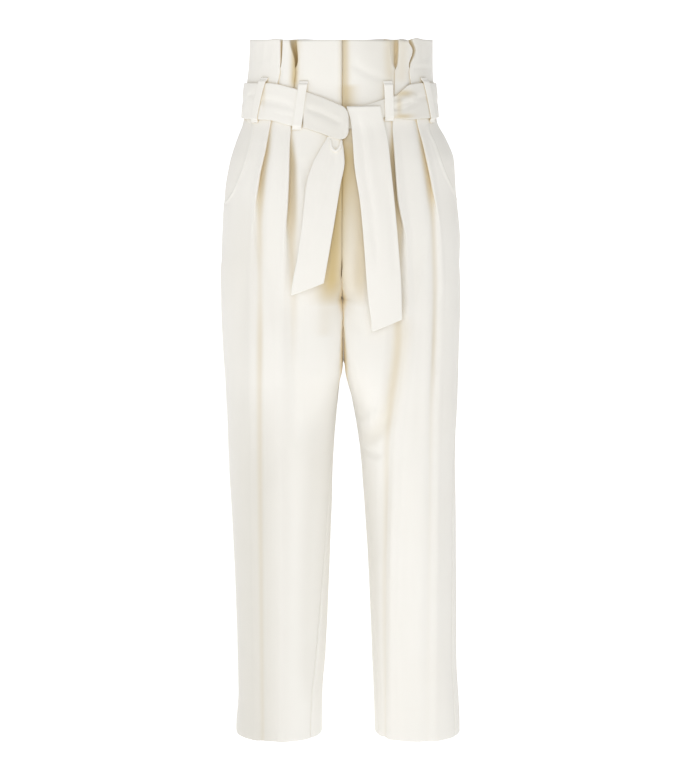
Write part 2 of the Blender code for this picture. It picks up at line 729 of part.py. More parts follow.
def build_loops(collection):
    """Loops sewn down above and below the belt, which pass over it with a little ease."""
    over_belt = BELT_LIFT + BELT_CLOTH + LAYER_GAP + LOOP_CLOTH
    sewn = LOOP_LIFT + LOOP_CLOTH
    for loop in LOOPS:
        height = loop.top - loop.bottom
        stations = (
            (0.0, sewn),
            (0.0030, sewn),
            (0.0055, over_belt),
            (height / 2, over_belt + 0.0004),
            (height - 0.0055, over_belt),
            (height - 0.0030, sewn),
            (height, sewn),
        )
        rows = []
        for fall, lift in stations:
            z = loop.top - fall
            turn = loop.top_turn + (loop.bottom_turn - loop.top_turn) * fall / height
            middle = waist_point(turn, z, lift)
            ahead = waist_point(turn + 0.5, z, lift)
            along = (ahead - middle).normalized()
            rows.append([middle + along * LOOP_WIDTH * share for share in (-0.5, 0.0, 0.5)])
        add_sheet(loop.name, rows, LOOP_CLOTH, CREAM, collection, flip=True)


def main():
    for old in list(bpy.data.objects):
        bpy.data.objects.remove(old)
    collection = make_collection(COLLECTION)
    build_panels(collection)
    build_fly(collection)
    build_belt(collection)
    build_loops(collection)


main()
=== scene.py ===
from collections import namedtuple
from math import asin, cos, pi, radians, sin

import bmesh
import bpy
import numpy as np
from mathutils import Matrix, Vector, noise
from mathutils.bvhtree import BVHTree


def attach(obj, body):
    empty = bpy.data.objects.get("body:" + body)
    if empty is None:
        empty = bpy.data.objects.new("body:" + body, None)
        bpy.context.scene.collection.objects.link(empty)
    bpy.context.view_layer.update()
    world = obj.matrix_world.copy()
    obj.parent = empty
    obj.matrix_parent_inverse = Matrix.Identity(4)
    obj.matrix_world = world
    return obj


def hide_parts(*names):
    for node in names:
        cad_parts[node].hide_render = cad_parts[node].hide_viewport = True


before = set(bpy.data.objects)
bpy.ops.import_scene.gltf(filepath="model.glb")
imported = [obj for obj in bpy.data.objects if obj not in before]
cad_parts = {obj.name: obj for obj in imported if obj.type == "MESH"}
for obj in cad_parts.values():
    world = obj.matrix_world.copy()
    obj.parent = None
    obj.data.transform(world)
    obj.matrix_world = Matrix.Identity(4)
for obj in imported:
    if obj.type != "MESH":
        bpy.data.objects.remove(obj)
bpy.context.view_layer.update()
print("frame loaded:", len(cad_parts), "nodes")

# Driving heights from the belt's mid-height, metres, +Z up, the front faces -Y.
topEdge = 0.092
frillFoot = 0.046
crotch = -0.284
legsPart = -0.387
hem = -0.956

# How the torso turns into two legs.
frontForkTop = -0.196
backForkTop = -0.15
softForkTop = -0.12
softForkFoot = -0.39
forkReach = 0.32
torsoPower = 2.4
legPower = 2.25
thighPower = 8.0
thighFoot = -0.47
seamGap = 0.00004

beltLift = 0.0013
beltCloth = 0.0024

# Sections of each half: its outer and inner edge, and how far it reaches to the front and back.
sectionNames = ("z", "outer", "inner", "front", "back")
rightSections = (
    (0.092, -0.134, 0.001, 0.098, 0.092),
    (0.048, -0.1365, 0.001, 0.097, 0.09),
    (0.02, -0.14, 0.001, 0.095, 0.089),
    (-0.024, -0.144, 0.001, 0.097, 0.091),
    (-0.054, -0.1545, 0.001, 0.102, 0.098),
    (-0.083, -0.164, 0.001, 0.106, 0.107),
    (-0.128, -0.172, 0.001, 0.11, 0.12),
    (-0.202, -0.177, 0.001, 0.113, 0.131),
    (-0.247, -0.1795, 0.001, 0.112, 0.132),
    (-0.291, -0.179, 0.002, 0.109, 0.127),
    (-0.387, -0.1755, 0.003, 0.102, 0.111),
    (-0.412, -0.174, -0.0015, 0.1, 0.107),
    (-0.519, -0.1705, -0.0105, 0.094, 0.092),
    (-0.674, -0.163, -0.0165, 0.083, 0.081),
    (-0.831, -0.158, -0.023, 0.071, 0.073),
    (-0.895, -0.157, -0.028, 0.067, 0.07),
    (-0.956, -0.161, -0.029, 0.064, 0.068),
)
leftSections = (
    (0.092, 0.1345, 0.001, 0.098, 0.092),
    (0.048, 0.135, 0.001, 0.097, 0.09),
    (0.02, 0.137, 0.001, 0.095, 0.089),
    (-0.024, 0.141, 0.001, 0.097, 0.091),
    (-0.054, 0.156, 0.001, 0.102, 0.098),
    (-0.083, 0.167, 0.001, 0.106, 0.107),
    (-0.128, 0.17, 0.001, 0.11, 0.12),
    (-0.202, 0.1765, 0.001, 0.113, 0.131),
    (-0.247, 0.177, 0.001, 0.112, 0.132),
    (-0.291, 0.1775, 0.002, 0.109, 0.127),
    (-0.387, 0.1755, 0.005, 0.102, 0.111),
    (-0.443, 0.175, 0.0165, 0.098, 0.103),
    (-0.519, 0.173, 0.028, 0.094, 0.092),
    (-0.674, 0.175, 0.04, 0.083, 0.081),
    (-0.831, 0.1765, 0.0475, 0.071, 0.073),
    (-0.956, 0.183, 0.052, 0.064, 0.068),
)
seamNames = ("z", "torsoSide", "legSide", "inseam")  # degrees round the torso and round the leg
rightSeams = (
    (0.092, 90.0, 180.0, 0.0),
    (-0.284, 90.0, 180.0, 0.0),
    (-0.62, 90.0, 176.0, 24.0),
    (-0.956, 90.0, 170.0, 44.0),
)
leftSeams = (
    (0.092, 88.0, 178.0, 0.0),
    (-0.284, 88.0, 176.0, 0.0),
    (-0.62, 88.0, 154.0, 14.0),
    (-0.956, 88.0, 149.0, 24.0),
)

# A pleat at each height: where it lies, how far its under-fold runs, how deep the groove on its
# centre side sinks, how far its lip stands out, and how much it has let go into a soft wave.
foldNames = ("z", "x", "under", "groove", "lip", "soft", "inward", "outward")
rightFolds = (
    (
        (0.092, -0.069, 0.005, 0.002, 0.0, 0.0, 0.0095, 0.008),
        (0.062, -0.0645, 0.005, 0.002, 0.0, 0.0, 0.0095, 0.008),
        (0.044, -0.0665, 0.005, 0.0019, 0.0002, 0.0, 0.0085, 0.008),
        (0.023, -0.069, 0.006, 0.0019, 0.0002, 0.0, 0.0095, 0.009),
        (-0.031, -0.0728, 0.007, 0.0024, 0.0006, 0.0, 0.013, 0.011),
        (-0.06, -0.0742, 0.008, 0.005, 0.0022, 0.0, 0.017, 0.012),
        (-0.09, -0.0748, 0.008, 0.0078, 0.0034, 0.0, 0.021, 0.013),
        (-0.135, -0.0757, 0.006, 0.0078, 0.004, 0.1, 0.024, 0.015),
        (-0.2, -0.0765, 0.0024, 0.0046, 0.0032, 0.6, 0.026, 0.017),
        (-0.275, -0.077, 0.0, 0.003, 0.0026, 1.0, 0.028, 0.02),
        (-0.34, -0.0776, 0.0, 0.0022, 0.0024, 1.0, 0.029, 0.021),
        (-0.456, -0.079, 0.0, 0.0006, 0.002, 1.0, 0.029, 0.021),
        (-0.956, -0.085, 0.0, 0.0004, 0.002, 1.0, 0.026, 0.016),
    ),
    (
        (0.092, -0.086, 0.004, 0.002, 0.0, 0.0, 0.007, 0.009),
        (0.062, -0.0868, 0.004, 0.002, 0.0, 0.0, 0.007, 0.009),
        (0.05, -0.088, 0.005, 0.0019, 0.0002, 0.0, 0.008, 0.009),
        (0.03, -0.092, 0.006, 0.0019, 0.0002, 0.0, 0.0095, 0.009),
        (-0.024, -0.102, 0.007, 0.0024, 0.0006, 0.0, 0.013, 0.011),
        (-0.063, -0.109, 0.007, 0.0048, 0.0018, 0.0, 0.017, 0.012),
        (-0.106, -0.1175, 0.005, 0.006, 0.0028, 0.1, 0.02, 0.014),
        (-0.181, -0.123, 0.0018, 0.0038, 0.0024, 0.7, 0.022, 0.016),
        (-0.265, -0.124, 0.0, 0.003, 0.0018, 1.0, 0.023, 0.019),
        (-0.34, -0.125, 0.0, 0.004, 0.0014, 1.0, 0.023, 0.02),
        (-0.426, -0.126, 0.0, 0.0034, 0.001, 1.0, 0.023, 0.02),
        (-0.956, -0.124, 0.0, 0.0026, 0.001, 1.0, 0.017, 0.018),
    ),
)
leftFolds = (
    (
        (0.092, 0.0765, 0.005, 0.002, 0.0, 0.0, 0.014, 0.0095),
        (0.062, 0.077, 0.005, 0.002, 0.0, 0.0, 0.013, 0.009),
        (0.043, 0.0775, 0.005, 0.0019, 0.0002, 0.0, 0.01, 0.0085),
        (0.015, 0.0765, 0.006, 0.0019, 0.0002, 0.0, 0.01, 0.009),
        (-0.031, 0.074, 0.007, 0.0024, 0.0006, 0.0, 0.013, 0.011),
        (-0.06, 0.0756, 0.008, 0.005, 0.0022, 0.0, 0.017, 0.012),
        (-0.09, 0.0775, 0.008, 0.0076, 0.0034, 0.0, 0.021, 0.013),
        (-0.135, 0.0805, 0.006, 0.0078, 0.004, 0.1, 0.024, 0.015),
        (-0.193, 0.088, 0.0026, 0.005, 0.0032, 0.6, 0.026, 0.016),
        (-0.26, 0.0897, 0.0, 0.0038, 0.0024, 1.0, 0.028, 0.018),
        (-0.323, 0.09, 0.0, 0.004, 0.0018, 1.0, 0.029, 0.02),
        (-0.5, 0.073, 0.0, 0.003, 0.0026, 1.0, 0.029, 0.021),
        (-0.726, 0.069, 0.0, 0.0026, 0.0028, 1.0, 0.027, 0.021),
        (-0.956, 0.069, 0.0, 0.0022, 0.0028, 1.0, 0.017, 0.021),
    ),
    (
        (0.092, 0.1, 0.004, 0.002, 0.0, 0.0, 0.008, 0.0085),
        (0.076, 0.1055, 0.004, 0.002, 0.0, 0.0, 0.008, 0.0085),
        (0.055, 0.0985, 0.005, 0.0019, 0.0002, 0.0, 0.008, 0.0085),
        (0.03, 0.101, 0.006, 0.0019, 0.0002, 0.0, 0.0095, 0.009),
        (-0.024, 0.11, 0.007, 0.0024, 0.0006, 0.0, 0.013, 0.011),
        (-0.063, 0.12, 0.006, 0.0046, 0.0018, 0.0, 0.017, 0.012),
        (-0.113, 0.13, 0.0044, 0.0056, 0.0026, 0.1, 0.02, 0.013),
        (-0.178, 0.1385, 0.0016, 0.0036, 0.0022, 0.7, 0.022, 0.014),
        (-0.279, 0.143, 0.0, 0.0034, 0.0016, 1.0, 0.023, 0.016),
        (-0.34, 0.1425, 0.0, 0.0038, 0.0012, 1.0, 0.023, 0.016),
        (-0.456, 0.138, 0.0, 0.0022, 0.001, 1.0, 0.023, 0.017),
        (-0.956, 0.137, 0.0, 0.0014, 0.001, 1.0, 0.023, 0.017),
    ),
)
backTuck = (
    (0.092, 0.07, 0.004, 0.002, 0.0, 0.0, 0.0085, 0.0085),
    (0.062, 0.0695, 0.004, 0.002, 0.0, 0.0, 0.0085, 0.0085),
    (0.046, 0.069, 0.005, 0.0019, 0.0002, 0.0, 0.0085, 0.0085),
    (-0.03, 0.07, 0.005, 0.0022, 0.0004, 0.0, 0.013, 0.011),
    (-0.08, 0.071, 0.004, 0.0028, 0.0012, 0.2, 0.018, 0.015),
    (-0.13, 0.072, 0.001, 0.0028, 0.0014, 0.8, 0.022, 0.018),
    (-0.18, 0.074, 0.0, 0.002, 0.0012, 1.0, 0.024, 0.02),
    (-0.23, 0.076, 0.0, 0.0008, 0.0012, 1.0, 0.025, 0.021),
    (-0.956, 0.09, 0.0, 0.0004, 0.0016, 1.0, 0.025, 0.021),
)

# The slit that stands open in the frill over each pleat: its width, its depth, and how far its
# centre side leans over, from the top down.
slitNames = ("z", "width", "depth", "lean")
thinSlit = ((0.092, 0.0038, 0.012, 0.2), (0.07, 0.0028, 0.011, 0.2), (0.048, 0.001, 0.004, 0.0))
openSlit = ((0.092, 0.0105, 0.014, 0.3), (0.064, 0.0052, 0.012, 0.3), (0.046, 0.0012, 0.004, 0.0))
softSlit = ((0.092, 0.014, 0.0085, 1.0), (0.062, 0.01, 0.008, 1.0), (0.044, 0.0016, 0.004, 0.4))
crookedSlit = ((0.092, 0.0075, 0.012, 0.3), (0.07, 0.0055, 0.011, 0.3), (0.048, 0.001, 0.004, 0.0))

# Slant pocket mouths.
mouthNames = ("z", "x")
rightMouth = (
    (-0.018, -0.143), (-0.0205, -0.142), (-0.0235, -0.1395), (-0.027, -0.135),
    (-0.031, -0.13), (-0.068, -0.137), (-0.12, -0.1555), (-0.139, -0.1665),
    (-0.148, -0.173),
)
leftMouth = (
    (-0.018, 0.14), (-0.0205, 0.139), (-0.0235, 0.137), (-0.027, 0.133),
    (-0.031, 0.128), (-0.058, 0.1385), (-0.097, 0.152), (-0.129, 0.166),
    (-0.141, 0.1705),
)


def column(table, names, name):
    return np.array([row[names.index(name)] for row in table], float)


def glide(keys, values, at):
    # smooth curve through a table, which never overshoots it
    keys, values = np.asarray(keys, float), np.asarray(values, float)
    if keys[0] > keys[-1]:
        keys, values = keys[::-1], values[::-1]
    at = np.clip(np.asarray(at, float), keys[0], keys[-1])
    span = np.diff(keys)
    secant = np.diff(values) / span
    slopes = np.zeros(len(keys))
    agree = secant[:-1] * secant[1:] > 0
    slopes[1:-1][agree] = (2 * secant[:-1] * secant[1:])[agree] / (secant[:-1] + secant[1:])[agree]
    spot = np.clip(np.searchsorted(keys, at, side="right") - 1, 0, len(span) - 1)
    step = span[spot]
    share = (at - keys[spot]) / step
    square, cube = share ** 2, share ** 3
    return (
        (2 * cube - 3 * square + 1) * values[spot]
        + (cube - 2 * square + share) * slopes[spot] * step
        + (3 * square - 2 * cube) * values[spot + 1]
        + (cube - square) * slopes[spot + 1] * step
    )


def fieldAt(table, names, name, at):
    return glide(column(table, names, "z"), column(table, names, name), at)


def ease(value):
    value = np.clip(value, 0.0, 1.0)
    return value * value * (3.0 - 2.0 * value)


def powerArc(angle, power):
    across, along = np.cos(angle), np.sin(angle)
    return (
        np.abs(across) ** (2.0 / power) * np.where(across >= 0, 1, -1),
        np.abs(along) ** (2.0 / power) * np.where(along >= 0, 1, -1),
    )


def distances(points):
    # running length along a line of points
    return np.concatenate([[0], np.cumsum(np.linalg.norm(np.diff(points, axis=0), axis=1))])


def alongLine(at, lengths, points):
    return np.stack([np.interp(at, lengths, points[:, axis]) for axis in range(3)], axis=-1)


class Half:
    # one half of the trousers: its sections, seams, pleats and pocket mouth

    def __init__(self, name, side, sections, seams, folds, slits, mouth):
        self.name, self.side, self.sections, self.seams = name, side, sections, seams
        self.folds, self.slits, self.mouth = folds, slits, mouth

    def at(self, z, name):
        return float(fieldAt(self.sections, sectionNames, name, z))

    def seam(self, z, name):
        return float(fieldAt(self.seams, seamNames, name, z))

    def centre(self, z):
        high = max(z, legsPart)
        right = fieldAt(rightSections, sectionNames, "inner", high)
        left = fieldAt(leftSections, sectionNames, "inner", high)
        return float(right + left) / 2

    def torso(self, angles, z):
        depth, width = powerArc(angles, torsoPower)
        reach = np.where(depth >= 0, self.at(z, "front"), self.at(z, "back"))
        centre = self.centre(z)
        x = centre + (self.at(z, "outer") - centre) * width
        return np.stack([x, -reach * depth, np.full_like(x, z)], axis=-1)

    def leg(self, angles, z):
        outer, inner = self.at(z, "outer"), self.at(z, "inner")
        fullness = ease((z - thighFoot) / (crotch - thighFoot))
        fuller = legPower + (thighPower - legPower) * fullness
        power = np.where(np.cos(angles) > 0, fuller, legPower)
        across, depth = powerArc(angles, power)
        reach = np.where(depth >= 0, self.at(z, "front"), self.at(z, "back"))
        x = (outer + inner) / 2 + (inner - outer) / 2 * across
        return np.stack([x, -reach * depth, np.full_like(x, z)], axis=-1)

    def fork(self, z, shares, top):
        away = ease(shares / forkReach)
        top = top + (softForkTop - top) * away
        foot = crotch + (softForkFoot - crotch) * away
        fall = np.clip((top - z) / (top - foot), 0.0, 1.0)
        return 1.0 - (1.0 - fall * fall) ** (0.5 + 1.3 * away)

    def section(self, z, back, shares):
        # shares run from the centre seam or the inseam to the side seam
        side, start = self.seam(z, "torsoSide"), self.seam(z, "inseam") + (360 if back else 0)
        turn = 180 - (180 - side) * shares if back else side * shares
        legTurn = start + (self.seam(z, "legSide") - start) * shares
        blend = self.fork(z, shares, backForkTop if back else frontForkTop)[:, None]
        points = self.torso(np.radians(turn), z) * (1 - blend)
        points = points + self.leg(np.radians(legTurn), z) * blend
        if z > legsPart:
            limit = self.centre(z) + self.side * seamGap / 2
            points[:, 0] = self.side * np.maximum(points[:, 0] * self.side, limit * self.side)
        return points


right = Half("right", -1, rightSections, rightSeams, rightFolds, (openSlit, thinSlit), rightMouth)
left = Half("left", 1, leftSections, leftSeams, leftFolds, (softSlit, crookedSlit), leftMouth)


# A mark on the cloth: the side that it faces, a path of places (x or y, z) there, its width,
# and how deep it sinks, or for a mark of painted shade how strongly it tints.
Mark = namedtuple("Mark", "face path width depth")


def marks(face, *rows):
    return [Mark(face, *row) for row in rows]


creases = marks("front",
    # right leg
    (((-0.055, -0.074), (-0.053, -0.095), (-0.051, -0.118)), 0.005, 0.0018),
    (((-0.042, -0.07), (-0.045, -0.1), (-0.049, -0.128)), 0.0045, 0.001),
    (((-0.019, -0.24), (-0.022, -0.27), (-0.024, -0.302)), 0.005, 0.0014),
    (((-0.008, -0.268), (-0.013, -0.3), (-0.026, -0.336)), 0.007, 0.0016),
    (((-0.064, -0.27), (-0.066, -0.37), (-0.068, -0.5)), 0.0085, 0.0024),
    (((-0.03, -0.32), (-0.046, -0.42), (-0.052, -0.52)), 0.011, 0.0014),
    (((-0.04, -0.56), (-0.052, -0.7), (-0.054, -0.86)), 0.012, 0.0016),
    (((-0.1, -0.33), (-0.104, -0.43), (-0.102, -0.56)), 0.01, 0.0014),
    (((-0.14, -0.23), (-0.146, -0.33), (-0.146, -0.45)), 0.009, 0.0018),
    (((-0.086, -0.5), (-0.085, -0.7), (-0.085, -0.99)), 0.01, -0.0022),
    (((-0.104, -0.64), (-0.106, -0.8), (-0.106, -0.99)), 0.011, 0.002),
    # left leg
    (((0.023, -0.2), (0.025, -0.235), (0.026, -0.272)), 0.005, 0.0014),
    (((0.01, -0.262), (0.014, -0.3), (0.026, -0.33)), 0.007, 0.0016),
    (((0.077, -0.3), (0.072, -0.39), (0.063, -0.456), (0.045, -0.486),
      (0.022, -0.495)), 0.008, 0.004),
    (((0.022, -0.506), (0.044, -0.512), (0.062, -0.508)), 0.006, 0.0028),
    (((0.026, -0.47), (0.04, -0.462), (0.054, -0.44)), 0.007, -0.002),
    (((0.063, -0.525), (0.06, -0.59), (0.054, -0.68)), 0.008, 0.002),
    (((0.147, -0.255), (0.146, -0.31), (0.14, -0.39)), 0.007, 0.0024),
    (((0.12, -0.3), (0.116, -0.4), (0.112, -0.52)), 0.01, 0.0016),
    (((0.098, -0.56), (0.098, -0.72), (0.1, -0.9)), 0.011, 0.0018),
    (((0.155, -0.52), (0.157, -0.66), (0.16, -0.86)), 0.009, 0.0016),
    # frill
    (((0.012, 0.062), (0.034, 0.047), (0.064, 0.036)), 0.0055, 0.0018),
    (((0.104, 0.05), (0.118, 0.053), (0.133, 0.051)), 0.003, 0.0014),
    (((0.118, 0.094), (0.117, 0.08), (0.119, 0.058)), 0.0035, 0.0012),
    (((0.127, 0.094), (0.126, 0.078), (0.124, 0.06)), 0.0035, 0.001),
    (((-0.104, 0.094), (-0.105, 0.08), (-0.107, 0.062)), 0.003, 0.001),
    (((-0.117, 0.094), (-0.118, 0.078), (-0.12, 0.056)), 0.003, 0.001),
    (((-0.04, 0.096), (-0.038, 0.07), (-0.042, 0.04)), 0.011, -0.0008),
) + marks("back",
    # backs
    (((-0.07, -0.12), (-0.052, -0.18), (-0.03, -0.25)), 0.011, 0.0022),
    (((0.074, -0.125), (0.058, -0.19), (0.034, -0.246)), 0.011, 0.002),
    (((-0.11, -0.27), (-0.07, -0.292), (-0.022, -0.286)), 0.009, 0.003),
    (((0.118, -0.262), (0.074, -0.288), (0.024, -0.292)), 0.009, 0.0028),
    (((-0.13, -0.3), (-0.09, -0.33), (-0.04, -0.334)), 0.011, 0.0022),
    (((0.134, -0.306), (0.088, -0.326), (0.046, -0.338)), 0.011, 0.002),
    (((-0.15, -0.5), (-0.11, -0.516), (-0.064, -0.506)), 0.01, 0.0024),
    (((0.15, -0.486), (0.116, -0.508), (0.07, -0.512)), 0.01, 0.0024),
    (((-0.12, -0.546), (-0.09, -0.556), (-0.056, -0.54)), 0.009, 0.0018),
    (((0.146, -0.548), (0.11, -0.56), (0.08, -0.548)), 0.009, 0.0018),
    (((-0.088, -0.38), (-0.092, -0.64), (-0.094, -0.99)), 0.011, -0.0024),
    (((0.1, -0.38), (0.112, -0.64), (0.118, -0.99)), 0.011, -0.0024),
    (((-0.124, -0.4), (-0.128, -0.56), (-0.126, -0.76)), 0.011, 0.0018),
    (((0.138, -0.42), (0.142, -0.6), (0.146, -0.78)), 0.011, 0.0018),
    (((-0.06, -0.56), (-0.064, -0.7), (-0.066, -0.88)), 0.011, 0.0016),
    (((0.082, -0.57), (0.086, -0.72), (0.09, -0.9)), 0.011, 0.0016),
    (((-0.104, 0.096), (-0.103, 0.076), (-0.106, 0.052)), 0.005, 0.0014),
    (((0.108, 0.096), (0.106, 0.076), (0.104, 0.052)), 0.005, 0.0014),
    (((-0.036, 0.096), (-0.034, 0.076), (-0.036, 0.05)), 0.006, 0.001),
    (((0.03, 0.096), (0.033, 0.074), (0.031, 0.048)), 0.006, 0.001),
) + marks("right",
    # sides
    (((-0.04, -0.19), (0.0, -0.24), (0.046, -0.29)), 0.011, 0.0016),
    (((-0.052, -0.3), (-0.02, -0.42), (0.004, -0.56)), 0.012, 0.0018),
    (((0.034, -0.42), (0.036, -0.6), (0.026, -0.8)), 0.012, 0.0016),
) + marks("left",
    (((-0.038, -0.2), (0.004, -0.256), (0.05, -0.3)), 0.011, 0.0016),
    (((-0.05, -0.32), (-0.022, -0.44), (0.0, -0.58)), 0.012, 0.0018),
    (((0.036, -0.4), (0.038, -0.62), (0.03, -0.82)), 0.012, 0.0016),
)

# How marks fade at their ends, and where the cloth turns away from them
fading = {"crease": 0.28, "tone": 0.22, "turned": 0.05, "facing": 0.35, "finePath": 24}


def pathStrength(flat, path, width, ends):
    # how strongly a path is felt at each flat place, fading at its ends
    best, spot = np.full(flat.shape[:-1], 1e9), np.zeros(flat.shape[:-1])
    for index in range(len(path) - 1):
        start, run = path[index], path[index + 1] - path[index]
        share = np.clip(((flat - start) @ run) / (run @ run), 0, 1)
        away = np.linalg.norm(flat - start - share[..., None] * run, axis=-1)
        closer = away < best
        best[closer] = away[closer]
        spot[closer] = (index + share[closer]) / (len(path) - 1)
    return np.exp(-(best / width) ** 2) * (ease(spot / ends) * ease((1 - spot) / ends))


def markStrength(points, normals, mark, ends):
    # which points lie near a mark, and how strongly they feel it
    axis, side = {"front": (0, -1), "back": (0, 1), "right": (1, -1), "left": (1, 1)}[mark.face]
    facing = side * normals[..., 1 - axis]
    flat = points[..., (axis, 2)]
    path = np.array(mark.path)
    lengths = distances(path)
    fine = np.linspace(0, lengths[-1], fading["finePath"])
    spine = np.stack([glide(lengths, path[:, part], fine) for part in (0, 1)], axis=1)
    low, high = spine.min(axis=0) - 4 * mark.width, spine.max(axis=0) + 4 * mark.width
    near = ((flat > low) & (flat < high)).all(axis=-1) & (facing > fading["turned"])
    strength = pathStrength(flat[near], spine, mark.width, ends)
    return near, strength * ease((facing[near] - fading["turned"]) / fading["facing"])


def creaseRelief(points, normals):
    # how far the creases move each point along its outward direction
    press = np.zeros(points.shape[:-1])
    for crease in creases:
        near, strength = markStrength(points, normals, crease, fading["crease"])
        press[near] -= crease.depth * strength
    return press


# Painted shade: where the cloth lies in the shelter of the knot, the ends, a pleat or a turned
# plane, its colour is tinted warmer or duller to stand in for the shade that falls there.
warmPaintedShade = marks("front",
    (((0.006, -0.02), (0.002, -0.08), (-0.008, -0.16), (-0.016, -0.29)), 0.02, 0.93),
    (((0.018, -0.04), (0.024, -0.13), (0.029, -0.2), (0.026, -0.29)), 0.015, 0.52),
    (((-0.02, -0.235), (-0.022, -0.265), (-0.025, -0.335)), 0.011, 0.12),
    (((0.0045, 0.12), (0.005, 0.05), (0.006, -0.03)), 0.006, 0.62),
    (((0.01, 0.03), (0.011, 0.012), (0.012, -0.01)), 0.011, 0.45),
    (((0.071, 0.125), (0.068, 0.065), (0.071, 0.03)), 0.0075, 0.3),
    (((0.09, 0.11), (0.088, 0.07), (0.086, 0.03)), 0.008, 0.2),
    (((-0.069, 0.125), (-0.066, 0.07), (-0.068, 0.02)), 0.0055, 0.85),
    (((0.095, -0.3), (0.08, -0.39), (0.06, -0.47), (0.03, -0.5)), 0.012, 0.16),
)
dullPaintedShade = marks("front",
    (((0.03, 0.13), (0.06, 0.06), (0.07, -0.01)), 0.035, 0.4),
    (((0.112, 0.13), (0.116, 0.06), (0.12, 0.0)), 0.018, 0.34),
    (((-0.134, -0.1), (-0.146, -0.42), (-0.15, -0.7), (-0.146, -1.15)), 0.02, 0.26),
    (((-0.118, -0.4), (-0.122, -0.64), (-0.122, -1.25)), 0.032, 0.66),
    (((0.054, -0.52), (0.05, -0.7), (0.046, -1.1)), 0.016, 0.26),
    (((-0.036, -0.42), (-0.046, -0.6), (-0.052, -0.9)), 0.012, 0.18),
)


def paintedShadeTone(points, normals, shelters):
    # each mark tints the painted shade layer more strongly near its path
    tone = np.zeros(points.shape[:-1])
    for shelter in shelters:
        near, strength = markStrength(points, normals, shelter, fading["tone"])
        tone[near] = 1 - (1 - tone[near]) * (1 - shelter.depth * strength)
    return tone


# The top edge isn't quite level: place, rise and reach.
topRises = ((-0.094, 0.0018, 0.007), (-0.056, -0.0008, 0.012), (0.06, -0.001, 0.014),
            (0.108, 0.0026, 0.008), (0.092, -0.0014, 0.006))

cloth = {
    "thickness": 0.0007, "rowStep": 0.0032, "waver": 0.0008, "foldShade": 0.52,
    "frillTurn": 0.046, "hemTurn": 0.036, "turnRows": (12, 10), "frontColumns": (18, 6, 22),
    "backColumns": (18, 26), "allowance": 0.005, "edgeGap": 0.0004, "edgeSink": 0.0018,
}


def foldShape(fold, slit, z):
    # the pressed profile of one pleat: steps along the cloth and heights off it, outer side last
    under, groove, lip, soft, inward, outward = (
        float(fieldAt(fold, foldNames, name, z)) for name in foldNames[2:]
    )
    wall = 2 * cloth["thickness"] + 0.0003
    drop = max(groove, wall + 0.0002)
    rise = np.linspace(0, 1, 8)
    beyond = np.array([0.06, 0.2, 0.4, 0.7, 1.0])
    along = np.concatenate([
        -inward * (1 - rise), under * np.array([0.25, 0.5, 0.75, 0.95]), [under + 0.0003],
        under * np.array([0.95, 0.7, 0.4, 0.12]), [-0.0005, -0.0008, -0.0005], outward * beyond,
    ])
    off = np.concatenate([
        -drop * ease(rise) ** 1.4, [-drop] * 4, [-(drop + wall) / 2], [-wall] * 4,
        [-wall * 0.9, -wall * 0.45 + lip / 2, lip - 0.0001], lip * (1 - ease(beyond)),
    ])
    if soft > 0:
        even = np.linspace(-1, 1, 25)
        fade = 1 - ease((np.abs(even) - 0.7) / 0.3)
        wave = lip * np.exp(-((even - 0.38) / 0.34) ** 2)
        wave = wave - groove * np.exp(-((even + 0.26) / 0.32) ** 2)
        along = along * (1 - soft) + np.where(even < 0, inward, outward) * even * soft
        off = off * (1 - soft) + wave * fade * soft
    agape = float(ease((z - frillFoot) / 0.012))
    if agape > 0:
        width, depth, lean = (float(fieldAt(slit, slitNames, name, z)) for name in slitNames[1:])
        width, corner = width / 2, 0.0012
        inwards = -np.array([corner, depth * 0.4, depth * 0.7, depth])
        slide = width * lean * np.array([0.1, 0.7, 1.2, 1.6])
        near = np.linspace(-inward, -width - corner, 7)
        far = np.linspace(width + corner, outward, 7)
        bottom = -depth - width * (1 - 0.8 * lean)
        alongSlit = np.concatenate([
            near, [-width - 0.3 * corner], slide - width, [width * lean * 0.9],
            [width] * 4, [width + 0.3 * corner], far,
        ])
        offSlit = np.concatenate([
            [0] * 7, [-0.3 * corner], inwards, [bottom], inwards[::-1], [-0.3 * corner], [0] * 7,
        ])
        along = along * (1 - agape) + alongSlit * agape
        off = off * (1 - agape) + offSlit * agape
    return along, off


def lengthAtX(points, lengths, x):
    crossing = np.nonzero((points[:-1, 0] - x) * (points[1:, 0] - x) <= 0)[0]
    if not len(crossing):
        return lengths[-1]
    index = crossing[0]
    span = points[index + 1, 0] - points[index, 0]
    share = (x - points[index, 0]) / span if span else 0.0
    return lengths[index] + (lengths[index + 1] - lengths[index]) * share


def squareTo(run, half, back):
    # the outward direction, level and square to a run along the cloth
    run = run / np.maximum(np.linalg.norm(run, axis=-1), 1e-9)[..., None]
    turn = half.side * (-1 if back else 1)
    return np.stack([run[..., 1] * turn, -run[..., 0] * turn, np.zeros(run.shape[:-1])], axis=-1)


sectionShares = np.linspace(0, 1, 241)


def mouthLength(half, points, lengths, z):
    return lengthAtX(points, lengths, float(fieldAt(half.mouth, mouthNames, "x", z)))


